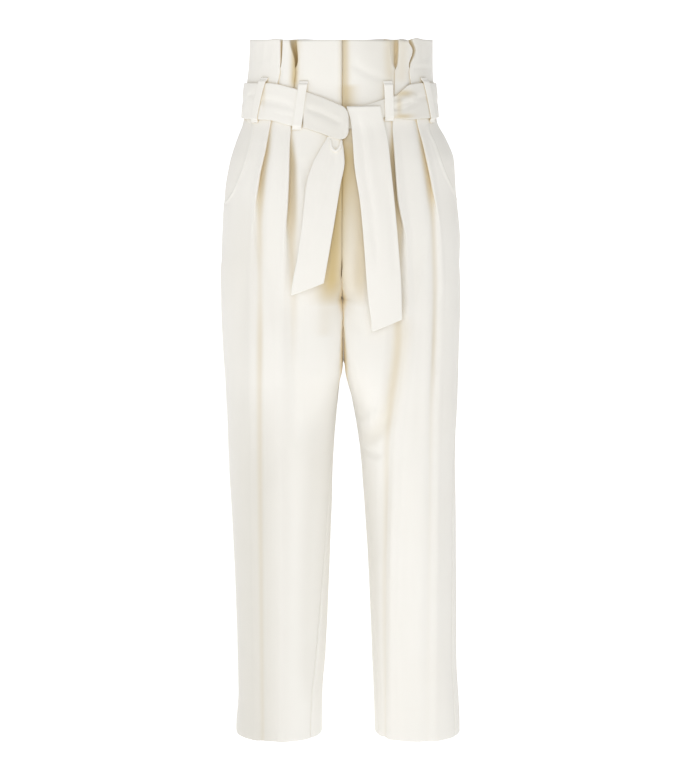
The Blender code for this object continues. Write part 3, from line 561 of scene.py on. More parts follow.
def panelRow(half, back, z, folds, counts):
    # one row of a panel: its points, outward directions and lengths across
    points = half.section(z, back, sectionShares)
    lengths = distances(points)
    gap, allowance, sink = cloth["edgeGap"], cloth["allowance"], cloth["edgeSink"]
    total = lengths[-1] - gap
    if not back and half.mouth[-1][0] <= z <= half.mouth[0][0]:
        total = mouthLength(half, points, lengths, z) - gap
    along, off, start = [[0.0, 0.0001]], [[-allowance, -sink]], gap
    for index, (fold, slit) in enumerate(folds):
        x = float(fieldAt(fold, foldNames, "x", z)) * (half.side if back else 1)
        anchor = lengthAtX(points, lengths, x)
        steps, heights = foldShape(fold, slit, z)
        flat = np.linspace(start, anchor + steps[0], counts[index] + 1, endpoint=False)
        flat = flat[1:] if index else flat[:-1]
        along += [flat, anchor + steps]
        off += [np.zeros(len(flat)), heights]
        start = anchor + steps[-1]
    atMouth = total < lengths[-1] - 0.001
    along += [np.linspace(start, total, counts[-1] + 1)[1:], [total + 0.0003, total + 0.0004]]
    off += [np.zeros(counts[-1]), [-0.0008, -0.0015] if atMouth else [-sink, -allowance]]
    along, off = np.concatenate(along), np.concatenate(off)
    spot, ahead, behind = (alongLine(along + step, lengths, points) for step in (0, 0.002, -0.002))
    return spot, squareTo((ahead - behind)[:, :2], half, back), along, off, total


# How far a panel's edges dip or stand proud, and from where and over what length
edges = {
    "press": (0.0009, 0.003), "mouth": (0.0016, 0.001, 0.0045), "mouthTop": -0.029,
    "overlap": (0.0013, 0.0062, 0.007), "step": (0.0009, 0.002, 0.006),
    "ridge": (0.0012, 0.0045, 0.0022), "flyLip": (0.0012, 0.001, 0.012),
    "beltFoot": (-0.054, 0.01), "flyFoot": (-0.158, 0.012),
}


def edgeRoll(length, total, z, half, back):
    # the seam allowances pull each panel's edge in a little, and the fly's edge overlaps
    press, reach = edges["press"]
    roll = -press * np.exp(-(((total - length) / reach) ** 2))
    centreRoll = -press * np.exp(-((length / reach) ** 2))
    if back:
        return roll + centreRoll
    high, fly = (ease((z - foot) / fade) for foot, fade in (edges["beltFoot"], edges["flyFoot"]))
    roll += centreRoll * (1 - high)
    if half.mouth[-1][0] < z < edges["mouthTop"]:
        lift, place, reach = edges["mouth"]
        roll += lift * np.exp(-(((total - length - place) / reach) ** 2))
    if half.side > 0:
        steps = ((high, edges["overlap"]), (fly * (1 - high), edges["step"]))
        for share, (sink, start, over) in steps:
            roll -= share * sink * (1 - ease((length - start) / over))
        lift, place, reach = edges["ridge"]
        roll += (1 - fly) * lift * np.exp(-(((length - place) / reach) ** 2))
    else:
        lift, start, over = edges["flyLip"]
        roll += fly * lift * (1 - ease((length - start) / over))
    return roll


def panelGrid(half, back):
    inset = cloth["thickness"] * 2 + 0.0003
    folds = [(backTuck, thinSlit)] if back else list(zip(half.folds, half.slits))
    counts = cloth["backColumns" if back else "frontColumns"]
    outer = np.linspace(topEdge, hem, int((topEdge - hem) / cloth["rowStep"]))
    topRows, hemRows = cloth["turnRows"]
    inTop = np.linspace(cloth["frillTurn"], topEdge - 0.002, topRows)
    inHem = np.linspace(hem + 0.002, hem + cloth["hemTurn"], hemRows)
    rows = [(z, inset) for z in inTop]
    rows += [(topEdge - 0.0004, inset), (topEdge + 0.0002, inset * 0.75)]
    rows += [(topEdge + 0.0004, inset * 0.4)]
    rows += [(z, 0.0) for z in outer]
    rows += [(hem - 0.0003, inset * 0.4), (hem - 0.0002, inset * 0.75), (hem + 0.0004, inset)]
    rows += [(z, inset) for z in inHem]
    grid = []
    for z, depth in rows:
        spot, outward, along, off, total = panelRow(half, back, z, folds, counts)
        grid.append((spot, outward, off + edgeRoll(along, total, z, half, back), along))
    points, outward, off, spread = (np.stack(part) for part in zip(*grid))
    # painted shade: a warm tint that grows the deeper the cloth sinks into a pleat's groove
    paintedFoldShade = cloth["foldShade"] * ease((-off - 0.0008) / 0.0052)
    off += creaseRelief(points, outward)
    off += waver(points)
    folded = points + outward * off[..., None]
    # the turned-in layers lie inside the folded cloth, square to it
    depths = np.array([depth for z, depth in rows])[:, None, None]
    folded = folded - squareTo(np.gradient(folded[..., :2], axis=1), half, back) * depths
    # between the legs and down the middle the two halves lie against each other
    for row, (z, depth) in zip(folded, rows):
        if z > legsPart + 0.004:
            limit = half.centre(z) * half.side
            across = row[:, 0] * half.side
            snug = across < limit + 0.0014
            spare = 0.08 * np.maximum(across[snug] - limit, 0)
            row[snug, 0] = (limit + seamGap + spare) * half.side
    rise = sum(size * np.exp(-((folded[..., 0] - x) / reach) ** 2) for x, size, reach in topRises)
    folded[..., 2] += rise * ease((folded[..., 2] - 0.055) / 0.035) * (-1 if back else 1)
    # the painted shade layers, warm and dull, that the material tints the colour with
    shadeTones = np.stack([paintedShadeTone(points, outward, kind) for kind in (warmPaintedShade, dullPaintedShade)])
    # the pleat grooves' painted shade joins the warm layer
    shadeTones[0] = 1 - (1 - shadeTones[0]) * (1 - paintedFoldShade)
    return folded, spread, np.array([z for z, depth in rows]), shadeTones


def waver(points):
    # slow, slight unevenness of hanging cloth
    size = cloth["waver"]
    moves = [
        size * noise.noise(Vector((x * 11 + 3.1, y * 11, z * 4.5)))
        + size * 0.35 * noise.noise(Vector((x * 31, y * 31 + 7.7, z * 17)))
        for x, y, z in points.reshape(-1, 3)
    ]
    return np.array(moves).reshape(points.shape[:-1])


def linked(name, data):
    made = bpy.data.objects.new(name, data)
    bpy.context.scene.collection.objects.link(made)
    return made


def weaveUv(mesh, flat):
    # the cloth's own lengths across and down, for its threads
    corners = np.empty(len(mesh.loops), int)
    mesh.loops.foreach_get("vertex_index", corners)
    uvMap = mesh.uv_layers.new(name="weave")
    uvMap.data.foreach_set("uv", flat[corners].astype(np.float32).ravel())


def setPaintedShade(piece, layer, tone):
    # stores a layer of painted shade on the piece's points
    values = piece.data.attributes.new(layer, "FLOAT", "POINT").data
    values.foreach_set("value", tone.ravel().astype(np.float32))


def workMesh(name, work):
    mesh = bpy.data.meshes.new(name)
    work.to_mesh(mesh)
    work.free()
    mesh.shade_smooth()
    return mesh


def sheetObject(name, grid, across, down, flip, thickness):
    rows, columns = grid.shape[:2]
    index = np.arange(rows * columns).reshape(rows, columns)
    corners = [index[:-1, :-1], index[:-1, 1:], index[1:, 1:], index[1:, :-1]]
    faces = np.stack(corners, axis=-1).reshape(-1, 4)[:, :: -1 if flip else 1]
    mesh = bpy.data.meshes.new(name)
    mesh.from_pydata(grid.reshape(-1, 3).tolist(), [], faces.tolist())
    weaveUv(mesh, np.stack([across.reshape(-1), np.repeat(down, columns)], axis=1))
    mesh.shade_smooth()
    made = linked(name, mesh)
    wall = made.modifiers.new("cloth wall", "SOLIDIFY")
    wall.thickness = thickness
    wall.offset = -1.0
    wall.use_rim = True
    return made


def addNode(tree, kind, inputs=None, **settings):
    # a node with its settings, each input set to a value or linked to a socket
    node = tree.nodes.new(kind)
    for name, value in settings.items():
        setattr(node, name, value)
    for name, value in (inputs or {}).items():
        if isinstance(value, bpy.types.NodeSocket):
            tree.links.new(value, node.inputs[name])
        else:
            node.inputs[name].default_value = value
    return node


def noiseTone(tree, scale, detail, vector):
    inputs = {"Scale": scale, "Detail": detail, "Roughness": 0.5, "Vector": vector}
    return addNode(tree, "ShaderNodeTexNoise", inputs).outputs["Fac"]


def maths(tree, operation, first, second):
    return addNode(tree, "ShaderNodeMath", {0: first, 1: second}, operation=operation).outputs[0]


def weighted(tree, first, firstShare, second, secondShare):
    return maths(tree, "ADD", maths(tree, "MULTIPLY", first, firstShare),
                 maths(tree, "MULTIPLY", second, secondShare))


def toneRamp(tree, tone, dark, light, low=0.0, high=1.0):
    ramp = addNode(tree, "ShaderNodeValToRGB", {"Fac": tone})
    for element, place, colour in zip(ramp.color_ramp.elements, (low, high), (dark, light)):
        element.position = place
        element.color = (*colour, 1.0)
    return ramp.outputs["Color"]


def tinted(tree, share, colour, tint):
    inputs = {"Factor": share, 6: colour, 7: (*tint, 1.0)}
    return addNode(tree, "ShaderNodeMix", inputs, data_type="RGBA", blend_type="MIX").outputs[2]


def newMaterial(name, shaderInputs):
    material = bpy.data.materials.new(name)
    material.use_nodes = True
    tree = material.node_tree
    shader = tree.nodes["Principled BSDF"]
    for socket, value in shaderInputs.items():
        shader.inputs[socket].default_value = value
    return material, tree, shader, tree.nodes.new("ShaderNodeTexCoord").outputs


finish = {
    "ivory": (0.895, 0.878, 0.832), "ivoryShade": (0.872, 0.846, 0.786),
    "roughness": 0.78, "sheen": 0.12, "specular": 0.25,
    "weave": 0.00085, "threadWaver": 1.6, "slub": 900.0, "mottle": 9.0,
    "bump": 0.35, "bumpHeight": 0.00012,
    # deep is the warm colour painted as shade into creases by occlusion; the two after it are the
    # colours of the painted shade in sheltered places
    "deep": (0.95, 0.83, 0.6), "deepReach": 0.022, "deepFrom": 0.1, "deepTo": 0.62,
    "warm": (0.6, 0.462, 0.215), "dull": (0.68, 0.655, 0.59),
}


def clothMaterial(name, colour, shade, weave=finish["weave"]):
    # fine crepe: crossed threads with a slight slub, soft uneven tone, and painted shade in creases
    # and sheltered places
    material, tree, shader, place = newMaterial(name, {
        "Roughness": finish["roughness"], "Sheen Weight": finish["sheen"],
        "Sheen Roughness": 0.5, "Specular IOR Level": finish["specular"]})
    waves = {"Scale": 0.314 / weave, "Distortion": finish["threadWaver"], "Detail": 1.0,
             "Detail Scale": 2.0, "Vector": place["UV"]}
    threads = [addNode(tree, "ShaderNodeTexWave", waves, wave_type="BANDS",
                       bands_direction=direction).outputs["Fac"] for direction in ("X", "Y")]
    slub = noiseTone(tree, finish["slub"], 2.0, place["UV"])
    height = weighted(tree, maths(tree, "MULTIPLY", *threads), 0.6, slub, 0.5)
    bump = addNode(tree, "ShaderNodeBump", {"Strength": finish["bump"],
                                            "Distance": finish["bumpHeight"], "Height": height})
    tree.links.new(bump.outputs["Normal"], shader.inputs["Normal"])
    mottle = noiseTone(tree, finish["mottle"], 3.0, place["Object"])
    colours = toneRamp(tree, weighted(tree, mottle, 0.55, slub, 0.45), shade, colour, 0.25, 0.75)
    # painted shade: where ambient occlusion finds creases and hollows, the colour turns a warm tan
    # that stands in for their shade
    paintedCreaseShade = addNode(tree, "ShaderNodeAmbientOcclusion", {"Distance": finish["deepReach"]}, samples=8)
    depth = addNode(tree, "ShaderNodeMapRange", {
        "Value": paintedCreaseShade.outputs["AO"], "From Min": finish["deepFrom"], "From Max": finish["deepTo"],
        "To Min": 1.0, "To Max": 0.0})
    colours = tinted(tree, depth.outputs["Result"], colours, finish["deep"])
    # painted shade: the dull and warm layers tint the colour where the cloth lies in shade
    for layer in ("dull", "warm"):
        tone = addNode(tree, "ShaderNodeAttribute", attribute_name=layer)
        colours = tinted(tree, tone.outputs["Fac"], colours, finish[layer])
    tree.links.new(colours, shader.inputs["Base Color"])
    return material


def plainMaterial(name, colour, roughness, metallic=0.0, grain=60.0):
    surface = {"Roughness": roughness, "Metallic": metallic}
    material, tree, shader, place = newMaterial(name, surface)
    dark = [part * 0.93 for part in colour]
    colours = toneRamp(tree, noiseTone(tree, grain, 3.0, place["Object"]), dark, colour)
    tree.links.new(colours, shader.inputs["Base Color"])
    return material


panelCloth = clothMaterial("ivory crepe", finish["ivory"], finish["ivoryShade"])
facingCloth = clothMaterial("ivory facing", (0.89, 0.872, 0.824), (0.868, 0.84, 0.778))
beltCrepe = clothMaterial("belt crepe", finish["ivory"], finish["ivoryShade"])
threadFinish = plainMaterial("sewing thread", (0.86, 0.83, 0.76), 0.55, grain=900.0)
tapeCloth = clothMaterial("zip tape twill", (0.84, 0.8, 0.71), (0.8, 0.755, 0.66), weave=0.0006)
zipMetal = plainMaterial("zip teeth", (0.8, 0.78, 0.74), 0.35, 0.9, grain=300.0)


def dress(piece, material):
    piece.data.materials.clear()
    piece.data.materials.append(material)
    return piece


print("shapes and finishes ready")

# The four panels
panelCuts = {
    "front": {"flat": (0.29, 1.13), "area": 0.24},
    "back": {"flat": (0.37, 1.13), "area": 0.315},
}
panels = {}
for half in (right, left):
    for kind in ("front", "back"):
        grid, across, down, shadeTones = panelGrid(half, kind == "back")
        name = kind + "_" + half.name
        flip = (half.side > 0) != (kind == "back")
        piece = sheetObject(name + "_cloth", grid, across, down, flip, cloth["thickness"])
        setPaintedShade(piece, "warm", shadeTones[0])
        setPaintedShade(piece, "dull", shadeTones[1])
        panels[name] = dress(piece, panelCloth)
        print("panel", name, grid.shape)


def waistPoint(turn, z, lift):
    # a place round the waist by its turn in degrees, from the front's middle by the left side
    turn = turn % 360
    half = left if turn <= 180 else right
    angle = turn if turn <= 180 else 360 - turn
    step = 0.5 if angle < 179 else -0.5
    here, ahead = half.torso(np.radians(np.array([angle, angle + step])), z)
    along = (ahead - here) * (1 if step > 0 else -1) * half.side
    out = np.array([along[1], -along[0], 0.0])
    return here + out / np.linalg.norm(out) * lift


def frontTurn(x, z):
    half = left if x >= left.centre(z) else right
    centre = half.centre(z)
    width = (x - centre) / (half.at(z, "outer") - centre)
    angle = asin(min(width, 1.0) ** (torsoPower / 2)) * 180 / pi
    return angle if half is left else 360 - angle


def frontOff(x, z, lift):
    # a place ahead of the torso at its own x, with the lift measured straight ahead
    return np.array([x, waistPoint(frontTurn(x, z), z, 0.0)[1] - lift, z])


def edgeShares(length, radius, count):
    rim = np.array([0.0, 0.12, 0.45, 1.0]) * radius / length
    return np.concatenate([rim[:-1], np.linspace(rim[-1], 1 - rim[-1], count), 1 - rim[-2::-1]])


def rounded(away, radius):
    close = np.clip(away / radius, 0, 1)
    return np.sqrt(np.clip(1 - (1 - close) ** 2, 0, 1))


def bandObject(name, middle, thickness, shares, outwardSign=1):
    # a closed band of folded cloth about its middle sheet, rounded along its edges
    rows, columns = middle.shape[:2]
    run, side = np.gradient(middle, axis=0), np.gradient(middle, axis=1)
    out = np.cross(run, side) * outwardSign
    out /= np.maximum(np.linalg.norm(out, axis=-1), 1e-12)[..., None]
    width = np.linalg.norm(np.diff(middle, axis=1), axis=-1).sum(axis=1)[:, None]
    puff = rounded(np.minimum(shares, 1 - shares)[None, :] * width, thickness / 2)
    lengths = distances(middle[:, columns // 2])
    for away in (lengths, lengths[-1] - lengths):
        puff = puff * rounded(away, thickness / 2)[:, None]
    half = thickness / 2 * puff[..., None]
    total = rows * columns
    index = np.arange(total).reshape(rows, columns)
    corners = [index[:-1, :-1], index[1:, :-1], index[1:, 1:], index[:-1, 1:]]
    quads = np.stack(corners, axis=-1).reshape(-1, 4)[:, :: -1 if outwardSign < 0 else 1]
    points = np.stack([middle + out * half, middle - out * half]).reshape(-1, 3)
    mesh = bpy.data.meshes.new(name)
    mesh.from_pydata(points.tolist(), [], np.concatenate([quads, quads[:, ::-1] + total]).tolist())
    flat = np.stack([np.repeat(lengths, columns), (shares[None, :] * width).reshape(-1)], axis=1)
    weaveUv(mesh, np.concatenate([flat, flat]))
    work = bmesh.new()
    work.from_mesh(mesh)
    bmesh.ops.remove_doubles(work, verts=work.verts, dist=0.000002)
    bmesh.ops.dissolve_degenerate(work, edges=work.edges, dist=0.0000005)
    bmesh.ops.recalc_face_normals(work, faces=work.faces)
    work.to_mesh(mesh)
    work.free()
    mesh.shade_smooth()
    return linked(name, mesh)


def bandRelief(size, along, shares, units):
    # the crown of a band and the troughs drawn on it by its length and its share across
    along, across = np.broadcast_arrays(along[:, None], shares[None, :])
    relief = size["crown"] * np.sin(pi * across)
    flat = np.stack([along, across], axis=-1) * units
    for path, width, depth in size["troughs"]:
        relief = relief - depth * pathStrength(flat, np.array(path) * units, width, fading["tone"])
    return relief


# The belt round the waist
beltEdges = (
    (23.8, 0.01, -0.017), (28.0, 0.012, -0.0175), (42.0, 0.029, -0.021),
    (54.0, 0.031, -0.02), (90.0, 0.03, -0.021), (180.0, 0.0265, -0.0265),
    (270.0, 0.0295, -0.0215), (316.0, 0.031, -0.0215), (336.0, 0.0235, -0.03),
    (340.6, 0.0205, -0.0315),
)
beltRound = {
    "width": 0.05, "thickness": 0.0022, "stations": 420, "across": 22, "crown": 0.0008,
    # troughs by turn (degrees) and height share from the top, width and depth
    "troughs": (
        (((306.0, 0.46), (322.0, 0.5), (338.0, 0.47)), 0.1, 0.0017),
        (((322.0, 0.8), (332.0, 0.76), (340.0, 0.72)), 0.06, 0.0006),
        (((292.0, 0.3), (300.0, 0.34), (308.0, 0.36)), 0.08, 0.0008),
        (((27.0, 0.66), (34.0, 0.6), (44.0, 0.46)), 0.08, 0.004),
        (((27.0, 0.24), (33.0, 0.16), (40.0, 0.12)), 0.07, 0.003),
        (((30.0, 0.42), (38.0, 0.36), (48.0, 0.3)), 0.06, -0.0014),
        (((44.0, 0.4), (52.0, 0.42), (60.0, 0.4)), 0.1, 0.0012),
        (((70.0, 0.5), (84.0, 0.55), (98.0, 0.52)), 0.1, 0.001),
        (((110.0, 0.42), (128.0, 0.46), (146.0, 0.44)), 0.1, 0.0012),
        (((160.0, 0.5), (176.0, 0.54), (198.0, 0.5)), 0.1, 0.001),
        (((214.0, 0.46), (232.0, 0.42), (252.0, 0.48)), 0.1, 0.0012),
        (((262.0, 0.56), (276.0, 0.52), (290.0, 0.55)), 0.1, 0.001),
    ),
}
waistUnits, stretchUnits = np.array([1 / 90, 1.0]), np.array([1.0, 0.05])
shallowest = -0.0006  # a trough never brings the belt nearer to the cloth than this
turns = np.array([row[0] for row in beltEdges])
stations = np.linspace(turns[0], turns[-1], beltRound["stations"])
tops, bottoms = (glide(turns, [row[i] for row in beltEdges], stations) for i in (1, 2))
shares = edgeShares(beltRound["width"], beltRound["thickness"] / 2, beltRound["across"])
relief = np.maximum(bandRelief(beltRound, stations, shares, waistUnits), shallowest)
middle = np.array([
    [waistPoint(turn, top + (bottom - top) * share, beltLift + beltCloth / 2 + height)
     for share, height in zip(shares, heights)]
    for turn, top, bottom, heights in zip(stations, tops, bottoms, relief)
])
beltRoundPiece = bandObject("belt_round_band", middle, beltRound["thickness"], shares)
dress(beltRoundPiece, beltCrepe)


def paintShadeSpots(piece, layer, spots):
    # painted shade in soft spots on the front of a band: x, z, their reaches and how strong
    places = np.array([vertex.co[:] for vertex in piece.data.vertices])
    tone = np.zeros(len(places))
    for x, z, wide, high, strength in spots:
        away = ((places[:, 0] - x) / wide) ** 2 + ((places[:, 2] - z) / high) ** 2
        tone = 1 - (1 - tone) * (1 - strength * np.exp(-away) * (places[:, 1] < 0))
    setPaintedShade(piece, layer, tone)
    return piece


# painted shade: a dull patch on the right of the waist, and warm shadows along the belt's edges and
# beside the loops
paintShadeSpots(beltRoundPiece, "dull", ((0.105, 0.0, 0.04, 0.06, 0.42),))
paintShadeSpots(beltRoundPiece, "warm", (
    (0.09, 0.0165, 0.012, 0.0045, 0.6), (0.09, -0.016, 0.013, 0.0032, 0.6),
    (0.083, 0.0, 0.004, 0.02, 0.35), (-0.112, 0.02, 0.003, 0.02, 0.35)))
print("belt round the waist", middle.shape)

# The belt's stretches across the front
# each row: x, top, bottom, lift
crossStrip = (
    (-0.055, 0.02, -0.032, beltLift), (-0.042, 0.0165, -0.0355, beltLift),
    (-0.025, 0.0105, -0.041, 0.0022), (-0.012, 0.005, -0.046, 0.0032),
    (-0.003, 0.0012, -0.0485, 0.0038), (0.004, -0.0022, -0.047, 0.0056),
    (0.0085, -0.008, -0.0425, 0.0072), (0.0108, -0.017, -0.035, 0.007),
)
underStrip = (
    (0.0652, 0.0095, -0.017, beltLift), (0.05, 0.005, -0.0215, beltLift),
    (0.03, -0.001, -0.028, beltLift), (0.007, -0.008, -0.034, beltLift),
)
strips = {
    "belt_cross": {
        "table": crossStrip, "width": 0.046, "thickness": 0.0024, "stations": 60, "across": 26,
        "crown": 0.0016, "dull": 0.34,
        "troughs": ((((0.0, 0.46), (0.026, 0.45), (0.06, 0.52)), 0.0046, 0.002),
                    (((0.004, 0.3), (0.02, 0.26), (0.036, 0.28)), 0.006, -0.0004),
                    (((0.01, 0.7), (0.03, 0.74), (0.05, 0.78)), 0.0055, -0.0004)),
    },
    "belt_under": {
        "table": underStrip, "width": 0.046, "thickness": 0.0022, "stations": 40, "across": 16,
        "crown": 0.0008, "dull": 0.45,
        "troughs": ((((0.01, 0.5), (0.03, 0.45), (0.05, 0.5)), 0.005, 0.001),),
    },
}


def stripBand(name, size):
    xs = np.array([row[0] for row in size["table"]])
    here = np.linspace(xs[0], xs[-1], size["stations"])
    tops, bottoms, lifts = (glide(xs, [row[i] for row in size["table"]], here) for i in (1, 2, 3))
    shares = edgeShares(size["width"], size["thickness"] / 2, size["across"])
    relief = np.maximum(bandRelief(size, np.abs(here - here[0]), shares, stretchUnits), shallowest)
    middle = np.array([
        [frontOff(x, top + (bottom - top) * share, lift + beltCloth / 2 + height)
         for share, height in zip(shares, heights)]
        for x, top, bottom, lift, heights in zip(here, tops, bottoms, lifts, relief)
    ])
    made = dress(bandObject(name + "_band", middle, size["thickness"], shares), beltCrepe)
    # painted shade: the whole strip's colour is dulled by this share
    return paintShadeSpots(made, "dull", ((0.0, 0.0, 1.0, 1.0, size["dull"]),))


crossPiece = stripBand("belt_cross", strips["belt_cross"])
underPiece = stripBand("belt_under", strips["belt_under"])

# The belt's two hanging ends
# each row: the left edge's z and x, the right edge's z and x, and the lift
beltEnds = {
    "belt_end_right": {
        "rows": (
            (-0.043, -0.02, -0.043, -0.001, 0.0002), (-0.0575, -0.0275, -0.0575, 0.0028, 0.0012),
            (-0.08, -0.04, -0.08, 0.0048, 0.003), (-0.112, -0.05, -0.112, -0.001, 0.005),
            (-0.162, -0.0555, -0.158, -0.0085, 0.0065), (-0.215, -0.063, -0.205, -0.0165, 0.0065),
            (-0.272, -0.072, -0.253, -0.025, 0.006),
        ),
        "width": 0.05, "stations": 150, "across": 26, "crown": 0.0014,
        "troughs": ((((0.0, 0.62), (0.045, 0.66), (0.1, 0.62)), 0.005, 0.0012),
                    (((0.06, 0.3), (0.12, 0.34), (0.19, 0.3)), 0.007, 0.0009)),
    },
    "belt_end_left": {
        "rows": ((-0.001, 0.0075, -0.001, 0.056, 0.0042), (-0.02, 0.0125, -0.02, 0.06, 0.0048),
                 (-0.048, 0.016, -0.048, 0.0665, 0.0055), (-0.083, 0.0185, -0.083, 0.0705, 0.007),
                 (-0.139, 0.027, -0.139, 0.0765, 0.0085), (-0.205, 0.033, -0.205, 0.0825, 0.0085),
                 (-0.27, 0.038, -0.26, 0.0865, 0.008), (-0.325, 0.044, -0.307, 0.088, 0.0075)),
        "width": 0.05, "stations": 150, "across": 26, "crown": 0.0014,
        "troughs": ((((0.0, 0.24), (0.06, 0.26), (0.15, 0.3), (0.24, 0.34)), 0.0055, 0.0022),
                    (((0.01, 0.6), (0.08, 0.66), (0.16, 0.66)), 0.008, 0.001),
                    (((0.09, 0.86), (0.17, 0.86), (0.25, 0.84)), 0.005, 0.001)),
    },
}


def endBand(name, size):
    table = np.array(size["rows"])
    key = table[:, 0]
    zs = np.linspace(key[0], key[-1], size["stations"])
    lefts, farZs, rights, lifts = (glide(key, table[:, i], zs) for i in (1, 2, 3, 4))
    shares = edgeShares(size["width"], beltCloth / 2, size["across"])
    relief = bandRelief(size, key[0] - zs, shares, stretchUnits)
    middle = np.array([
        [frontOff(x + (farX - x) * share, z + (farZ - z) * share, lift + beltCloth / 2 + height)
         for share, height in zip(shares, heights)]
        for x, farX, z, farZ, lift, heights in zip(lefts, rights, zs, farZs, lifts, relief)
    ])
    return dress(bandObject(name + "_band", middle, beltCloth, shares, outwardSign=-1), beltCrepe)


endPieces = {name: endBand(name, size) for name, size in beltEnds.items()}
print("belt stretches and ends")

# The knot's wrap: a short roll of belt that curls under the crossing
knot = {"path": ((-0.0155, -0.048), (-0.014, -0.059), (-0.008, -0.064), (-0.002, -0.059),
                 (0.0005, -0.049)), "radius": 0.0023, "lift": 0.0032,
        "stations": 36, "sides": 24}


def rollObject(name, path, radius, lift, stations, sides):
    spine = np.array([frontOff(x, z, lift + radius) for x, z in path])
    key = np.linspace(0, 1, len(spine))
    fine = np.linspace(0, 1, stations)
    spine = np.stack([glide(key, spine[:, axis], fine) for axis in range(3)], axis=1)
    around = np.linspace(0, 2 * pi, sides, endpoint=False)
    rings = []
    run = np.gradient(spine, axis=0)
    for spot, ahead, share in zip(spine, run, fine):
        ahead = ahead / np.linalg.norm(ahead)
        up = np.cross(ahead, (0, 1, 0))
        up /= np.linalg.norm(up)
        out = np.cross(up, ahead)
        size = radius * np.sqrt(np.clip(1 - (2 * share - 1) ** 6, 0.02, 1))
        curl = 1 - 0.16 * np.exp(-((around - 0.9) / 0.35) ** 2)
        rings.append([spot + (up * cos(a) + out * sin(a)) * size * c for a, c in zip(around, curl)])
    work = bmesh.new()
    grid = [[work.verts.new(point) for point in ring] for ring in rings]
    for before, after in zip(grid, grid[1:]):
        for index in range(len(before)):
            step = (index + 1) % len(before)
            work.faces.new((before[index], before[step], after[step], after[index]))
    work.faces.new(grid[0][::-1])
    work.faces.new(grid[-1])
    bmesh.ops.recalc_face_normals(work, faces=work.faces)
    mesh = workMesh(name, work)
    weaveUv(mesh, np.array([(vertex.co.x, vertex.co.z) for vertex in mesh.vertices]))
    return linked(name, mesh)


knotPiece = dress(rollObject("belt_knot_roll", **knot), beltCrepe)

# Belt loops
loops = {
    "width": 0.0135, "thickness": 0.0014, "lift": 0.0009, "gap": 0.0005, "sewn": 0.003,
    "bend": 0.0062, "crown": 0.0003, "stations": 70, "across": 12,
    "places": {
        "belt_loop_right_side": (310.5, 303.0, 0.039, -0.0262),
        "belt_loop_right_front": (341.2, 338.2, 0.0345, -0.0352),
        "belt_loop_left_front": (24.6, 24.6, 0.0345, -0.0228),
        "belt_loop_left_side": (57.5, 66.0, 0.0385, -0.0262),
        "belt_loop_left_back": (153.0, 153.0, 0.0345, -0.0345),
        "belt_loop_right_back": (207.0, 207.0, 0.0345, -0.0345),
    },
}


def loopBand(name, topTurn, bottomTurn, top, bottom):
    over = beltLift + beltCloth + loops["gap"] + loops["thickness"] / 2
    sewn = loops["lift"] + loops["thickness"] / 2
    height = top - bottom
    seam, bend = loops["sewn"], loops["bend"]
    falls = np.array([0.0, seam, bend, height / 2, height - bend, height - seam, height])
    lifts = np.array([sewn, sewn + 0.0003, over, over + 0.0007, over, sewn + 0.0003, sewn])
    fine = np.linspace(0, height, loops["stations"])
    lift = glide(falls, lifts, fine)
    shares = edgeShares(loops["width"], loops["thickness"] / 2, loops["across"])
    middle = np.empty((len(fine), len(shares), 3))
    for row, fall in enumerate(fine):
        z = top - fall
        turn = topTurn + (bottomTurn - topTurn) * fall / height
        here, ahead = waistPoint(turn, z, 0.0), waistPoint(turn + 0.5, z, 0.0)
        run = (ahead - here) / np.linalg.norm(ahead - here)
        out = np.array([run[1], -run[0], 0.0])
        for spot, share in enumerate(shares):
            crown = loops["crown"] * sin(pi * share)
            across = run * loops["width"] * (share - 0.5)
            middle[row, spot] = here + across + out * (lift[row] + crown)
    made = bandObject(name + "_band", middle, loops["thickness"], shares, outwardSign=-1)
    return dress(made, beltCrepe)


loopPieces = {name: loopBand(name, *place) for name, place in loops["places"].items()}
print("belt loops:", len(loopPieces))

# Pocket facings, fly shield and zip
facing = {"underlap": 0.012, "sink": 0.0017, "thickness": 0.0006, "rows": 46, "columns": 26,
          "top": -0.019, "foot": -0.147}


def facingSheet(half):
    rows, across = [], []
    zs = np.linspace(facing["top"], facing["foot"], facing["rows"])
    for z in zs:
        points = half.section(z, False, sectionShares)
        lengths = distances(points)
        mouth = mouthLength(half, points, lengths, z)
        edge = lengths[-1] - cloth["edgeGap"]
        along = np.linspace(mouth - facing["underlap"], edge, facing["columns"])
        spot = alongLine(along, lengths, points)
        out = squareTo(np.gradient(spot, axis=0)[:, :2], half, False)
        toSide = ease((along - mouth) / np.maximum(lengths[-1] - mouth, 0.004))
        sink = facing["sink"] * (1 - 0.75 * toSide)
        sink = np.where(along < mouth, facing["sink"] + 0.0006, sink)
        rows.append(spot - out * sink[:, None])
        across.append(along)
    name = "pocket_facing_" + half.name + "_cloth"
    grid, across = np.stack(rows), np.stack(across)
    return sheetObject(name, grid, across, zs, half.side > 0, facing["thickness"])


facingPieces = {half.name: dress(facingSheet(half), facingCloth) for half in (right, left)}

fly = {"shield": (-0.007, 0.027), "zip": (-0.021, -0.0078), "sink": 0.0052, "zipSink": 0.0036,
       "top": 0.088, "foot": -0.15, "thickness": 0.0006, "rows": 80, "columns": 10}


def flySheet(name, reach, sink, material):
    zs = np.linspace(fly["top"], fly["foot"], fly["rows"])
    xs = np.linspace(*reach, fly["columns"])
    grid = np.array([[frontOff(x, z, -sink) for x in xs] for z in zs])
    across = np.tile(xs, (len(zs), 1))
    return dress(sheetObject(name, grid, across, zs, True, fly["thickness"]), material)


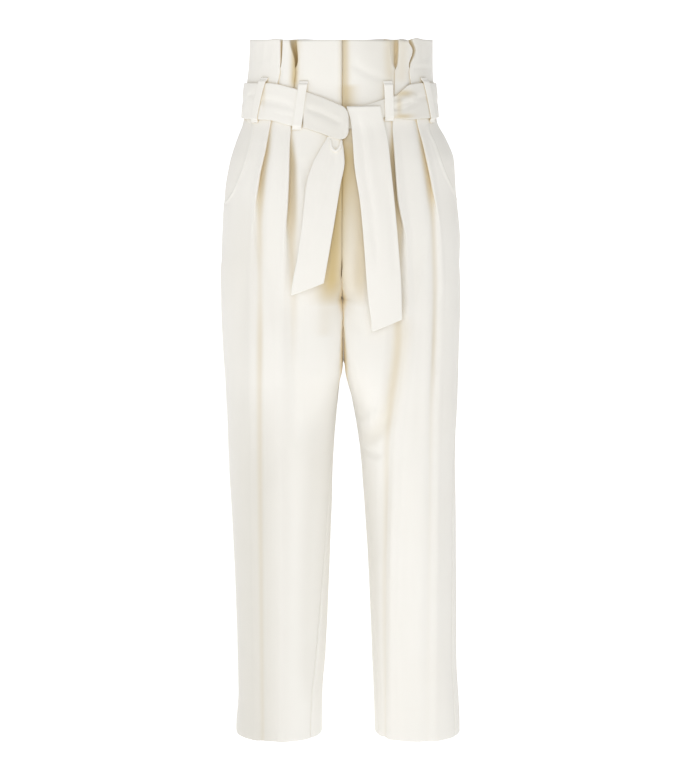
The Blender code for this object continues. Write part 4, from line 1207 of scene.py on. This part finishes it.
shieldPiece = flySheet("fly_shield_cloth", fly["shield"], fly["sink"], facingCloth)
tapePiece = flySheet("fly_zip_tape", fly["zip"], fly["zipSink"], tapeCloth)
print("facings, fly shield and zip tape")


# Stitches and zip teeth by geometry nodes
def grainMesh(name, length, radius, flatness):
    # one small grain with round ends, lying along X
    work = bmesh.new()
    bmesh.ops.create_uvsphere(work, u_segments=6, v_segments=4, radius=1.0)
    for vert in work.verts:
        x, y, z = vert.co
        vert.co = Vector((z * length / 2, x * radius, y * radius * flatness))
    bmesh.ops.recalc_face_normals(work, faces=work.faces)
    return linked(name, workMesh(name, work))


def rowTree(name):
    # a grain at each pitch along a path, turned with it and a little uneven in size
    tree = bpy.data.node_groups.new(name, "GeometryNodeTree")
    kinds = {"Geometry": "Geometry", "Pitch": "Float", "Grain": "Object", "Unevenness": "Float",
             "Finish": "Material"}
    sockets = {
        title: tree.interface.new_socket(title, in_out="INPUT", socket_type="NodeSocket" + kind)
        for title, kind in kinds.items()
    }
    tree.interface.new_socket("Geometry", in_out="OUTPUT", socket_type="NodeSocketGeometry")
    start = tree.nodes.new("NodeGroupInput").outputs
    resample = addNode(tree, "GeometryNodeResampleCurve",
                       {"Curve": start["Geometry"], "Length": start["Pitch"]}, mode="LENGTH")
    tangent = addNode(tree, "GeometryNodeInputTangent")
    align = addNode(tree, "FunctionNodeAlignRotationToVector",
                    {"Vector": tangent.outputs["Tangent"]}, axis="X")
    grain = addNode(tree, "GeometryNodeObjectInfo", {"Object": start["Grain"]})
    smallest = maths(tree, "SUBTRACT", 1.0, start["Unevenness"])
    size = addNode(tree, "FunctionNodeRandomValue", {"Seed": 11, 2: smallest, 3: 1.0},
                   data_type="FLOAT")
    place = addNode(tree, "GeometryNodeInstanceOnPoints", {
        "Points": resample.outputs["Curve"], "Instance": grain.outputs["Geometry"],
        "Rotation": align.outputs["Rotation"], "Scale": size.outputs[1]})
    real = addNode(tree, "GeometryNodeRealizeInstances", {"Geometry": place.outputs["Instances"]})
    paint = addNode(tree, "GeometryNodeSetMaterial",
                    {"Geometry": real.outputs["Geometry"], "Material": start["Finish"]})
    addNode(tree, "NodeGroupOutput", {"Geometry": paint.outputs["Geometry"]})
    return tree, {title: socket.identifier for title, socket in sockets.items()}


grainTree, grainSockets = rowTree("grains along a path")


def grainRow(name, paths, pitch, grain, material, unevenness):
    curve = bpy.data.curves.new(name + " path", "CURVE")
    curve.dimensions = "3D"
    for path in paths:
        spline = curve.splines.new("POLY")
        spline.points.add(len(path) - 1)
        for point, spot in zip(spline.points, path):
            point.co = (*spot, 1.0)
    holder = linked(name + " path", curve)
    row = holder.modifiers.new("row", "NODES")
    row.node_group = grainTree
    row[grainSockets["Pitch"]] = pitch
    row[grainSockets["Grain"]] = grain
    row[grainSockets["Unevenness"]] = unevenness
    row[grainSockets["Finish"]] = material
    bpy.context.view_layer.update()
    ready = holder.evaluated_get(bpy.context.evaluated_depsgraph_get())
    mesh = bpy.data.meshes.new_from_object(ready)
    mesh.name = name
    bpy.data.objects.remove(holder)
    return dress(linked(name, mesh), material)


def surfaceTree(piece):
    work = bmesh.new()
    work.from_mesh(piece.data)
    tree = BVHTree.FromBMesh(work)
    work.free()
    return tree


trees = {name: surfaceTree(piece) for name, piece in panels.items()}


def onCloth(name, points, lift):
    # the nearest place on a panel's outer side, raised by the thread
    made = []
    for point in points:
        spot, normal, index, away = trees[name].find_nearest(Vector(point))
        made.append(spot + normal * lift)
    return made


stitch = {"length": 0.0022, "radius": 0.00028, "pitch": 0.0031, "lift": 0.00008, "inset": 0.006,
          "unevenness": 0.1, "mouthTop": -0.036}
threadGrain = grainMesh("thread grain", stitch["length"], stitch["radius"], 0.7)

stitchWay = (stitch["pitch"], threadGrain, threadFinish, stitch["unevenness"])
flyLine = {"x": -0.03, "top": -0.062, "turn": -0.118, "radius": 0.031}
lineX, turnZ, bend = flyLine["x"], flyLine["turn"], flyLine["radius"]
jPath = [(lineX, z) for z in np.linspace(flyLine["top"], turnZ, 16)]
jPath += [(lineX + bend * (1 - cos(a)), turnZ - bend * sin(a))
          for a in np.linspace(0.1, pi / 2, 14)]
flyPath = onCloth("front_right", [frontOff(x, z, 0.0) for x, z in jPath], stitch["lift"])
flyStitches = grainRow("fly_stitches", [flyPath], *stitchWay)


def mouthPath(half):
    path = []
    for z in np.linspace(stitch["mouthTop"], half.mouth[-1][0] + 0.004, 40):
        points = half.section(z, False, sectionShares)
        lengths = distances(points)
        mouth = mouthLength(half, points, lengths, z)
        path.append(alongLine(mouth - stitch["inset"], lengths, points))
    return onCloth("front_" + half.name, path, stitch["lift"])


pocketStitches = grainRow("pocket_stitches", [mouthPath(right), mouthPath(left)], *stitchWay)

zipTeeth = {"length": 0.0034, "radius": 0.0006, "pitch": 0.0016, "inset": 0.0006, "sink": 0.0018,
            "top": 0.08, "foot": -0.142}
toothGrain = grainMesh("zip tooth", zipTeeth["radius"] * 2, zipTeeth["length"] / 2, 0.5)
teethX, teethLift = fly["zip"][1] - zipTeeth["inset"], -fly["zipSink"] - zipTeeth["sink"]
teethPath = [frontOff(teethX, z, teethLift)
             for z in np.linspace(zipTeeth["top"], zipTeeth["foot"], 60)]
teethPiece = grainRow("fly_zip_teeth", [teethPath], zipTeeth["pitch"], toothGrain, zipMetal, 0.0)
for spare in (threadGrain, toothGrain):
    bpy.data.objects.remove(spare)
print("stitches and zip teeth")

# Camera, floor and light
view = {"place": (-0.0068, -3.2, topEdge), "tilt": 8.97, "lens": 115.4, "sensor": 36.0}
camera = linked("camera", bpy.data.cameras.new("camera"))
camera.location = view["place"]
camera.rotation_euler = (radians(90 - view["tilt"]), 0, 0)
camera.data.lens = view["lens"]
camera.data.sensor_width = view["sensor"]
camera.data.sensor_fit = "HORIZONTAL"
bpy.context.scene.camera = camera

studio = {
    "floor": -1.36, "reach": 9.0, "back": 4.5, "bend": 1.6, "height": 5.0,
    "paper": (0.93, 0.93, 0.93), "glow": 0.56, "sky": 0.47, "aim": (0.0, 0.0, -0.4),
    "front": {"place": (-0.2, -4.6, 1.1), "size": (3.2, 3.2), "power": 62.0},
    "side": {"place": (-3.6, -1.4, 1.0), "size": (2.2, 3.0), "power": 10.0},
}


def backdrop():
    # floor that sweeps up into the back wall
    reach, bend, wall, ground = (studio[part] for part in ("reach", "bend", "back", "floor"))
    profile = [(-reach, ground)]
    profile += [(wall - bend + bend * sin(a), ground + bend * (1 - cos(a)))
                for a in np.linspace(0, pi / 2, 24)]
    profile.append((wall, ground + studio["height"]))
    work = bmesh.new()
    grid = [[work.verts.new((x, y, z)) for x in (-reach, reach)] for y, z in profile]
    for before, after in zip(grid, grid[1:]):
        work.faces.new((before[0], before[1], after[1], after[0]))
    made = linked("backdrop", workMesh("backdrop", work))
    material = plainMaterial("studio paper", studio["paper"], 0.9, grain=2.0)
    shader = material.node_tree.nodes["Principled BSDF"]
    shader.inputs["Emission Color"].default_value = (1, 1, 1, 1)
    shader.inputs["Emission Strength"].default_value = studio["glow"]
    return dress(made, material)


def softLight(name):
    size = studio[name]
    lamp = bpy.data.lights.new(name + " light", "AREA")
    lamp.shape = "RECTANGLE"
    lamp.size, lamp.size_y = size["size"]
    lamp.energy = size["power"]
    made = linked(name + " light", lamp)
    made.location = size["place"]
    aim = Vector(studio["aim"]) - Vector(size["place"])
    made.rotation_euler = aim.to_track_quat("-Z", "Y").to_euler()


floor = backdrop()
softLight("front")
softLight("side")
world = bpy.data.worlds.new("studio air")
world.use_nodes = True
air = world.node_tree.nodes["Background"]
air.inputs["Color"].default_value = (1, 1, 1, 1)
air.inputs["Strength"].default_value = studio["sky"]
bpy.context.scene.world = world
bpy.context.scene.view_settings.view_transform = "Standard"
print("camera, floor and light")


# Each piece hangs from the root, and the CAD part it stands for is hidden
def declare(piece, slot, node=None, **sheet):
    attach(piece, "root")
    if node:
        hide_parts(node)


for name, piece in panels.items():
    declare(piece, "cloth", name, held="gathered", rests_on=[], **panelCuts[name.split("_")[0]])
for name, piece in facingPieces.items():
    declare(piece, "facing", "pocket_facing_" + name, flat=(0.075, 0.125), held="hung",
            rests_on=[panels["front_" + name]], area=0.0084)
declare(shieldPiece, "facing", "fly_shield", flat=(0.034, 0.24), held="hung",
        rests_on=[panels["front_left"]])
declare(tapePiece, "zip_tape", "fly_zip", flat=(0.0132, 0.24), held="hung",
        rests_on=[panels["front_right"]])
declare(teethPiece, "zip_tape")
declare(flyStitches, "cloth")
declare(pocketStitches, "cloth")
beltCuts = {"belt_round": (0.05, 0.69), "belt_cross": (0.05, 0.072), "belt_under": (0.027, 0.06),
            "belt_end_right": (0.047, 0.23), "belt_end_left": (0.05, 0.325)}
beltPieces = {"belt_round": beltRoundPiece, "belt_cross": crossPiece, "belt_under": underPiece,
              **endPieces}
for name, piece in beltPieces.items():
    declare(piece, "belt", name, flat=beltCuts[name], held="hung" if "end" in name else "gathered",
            rests_on=[panels["front_right"], panels["front_left"]])
declare(knotPiece, "belt", "belt_knot")
for name, piece in loopPieces.items():
    declare(piece, "belt", name, flat=(loops["width"], 0.075), held="stretched",
            rests_on=[beltRoundPiece])
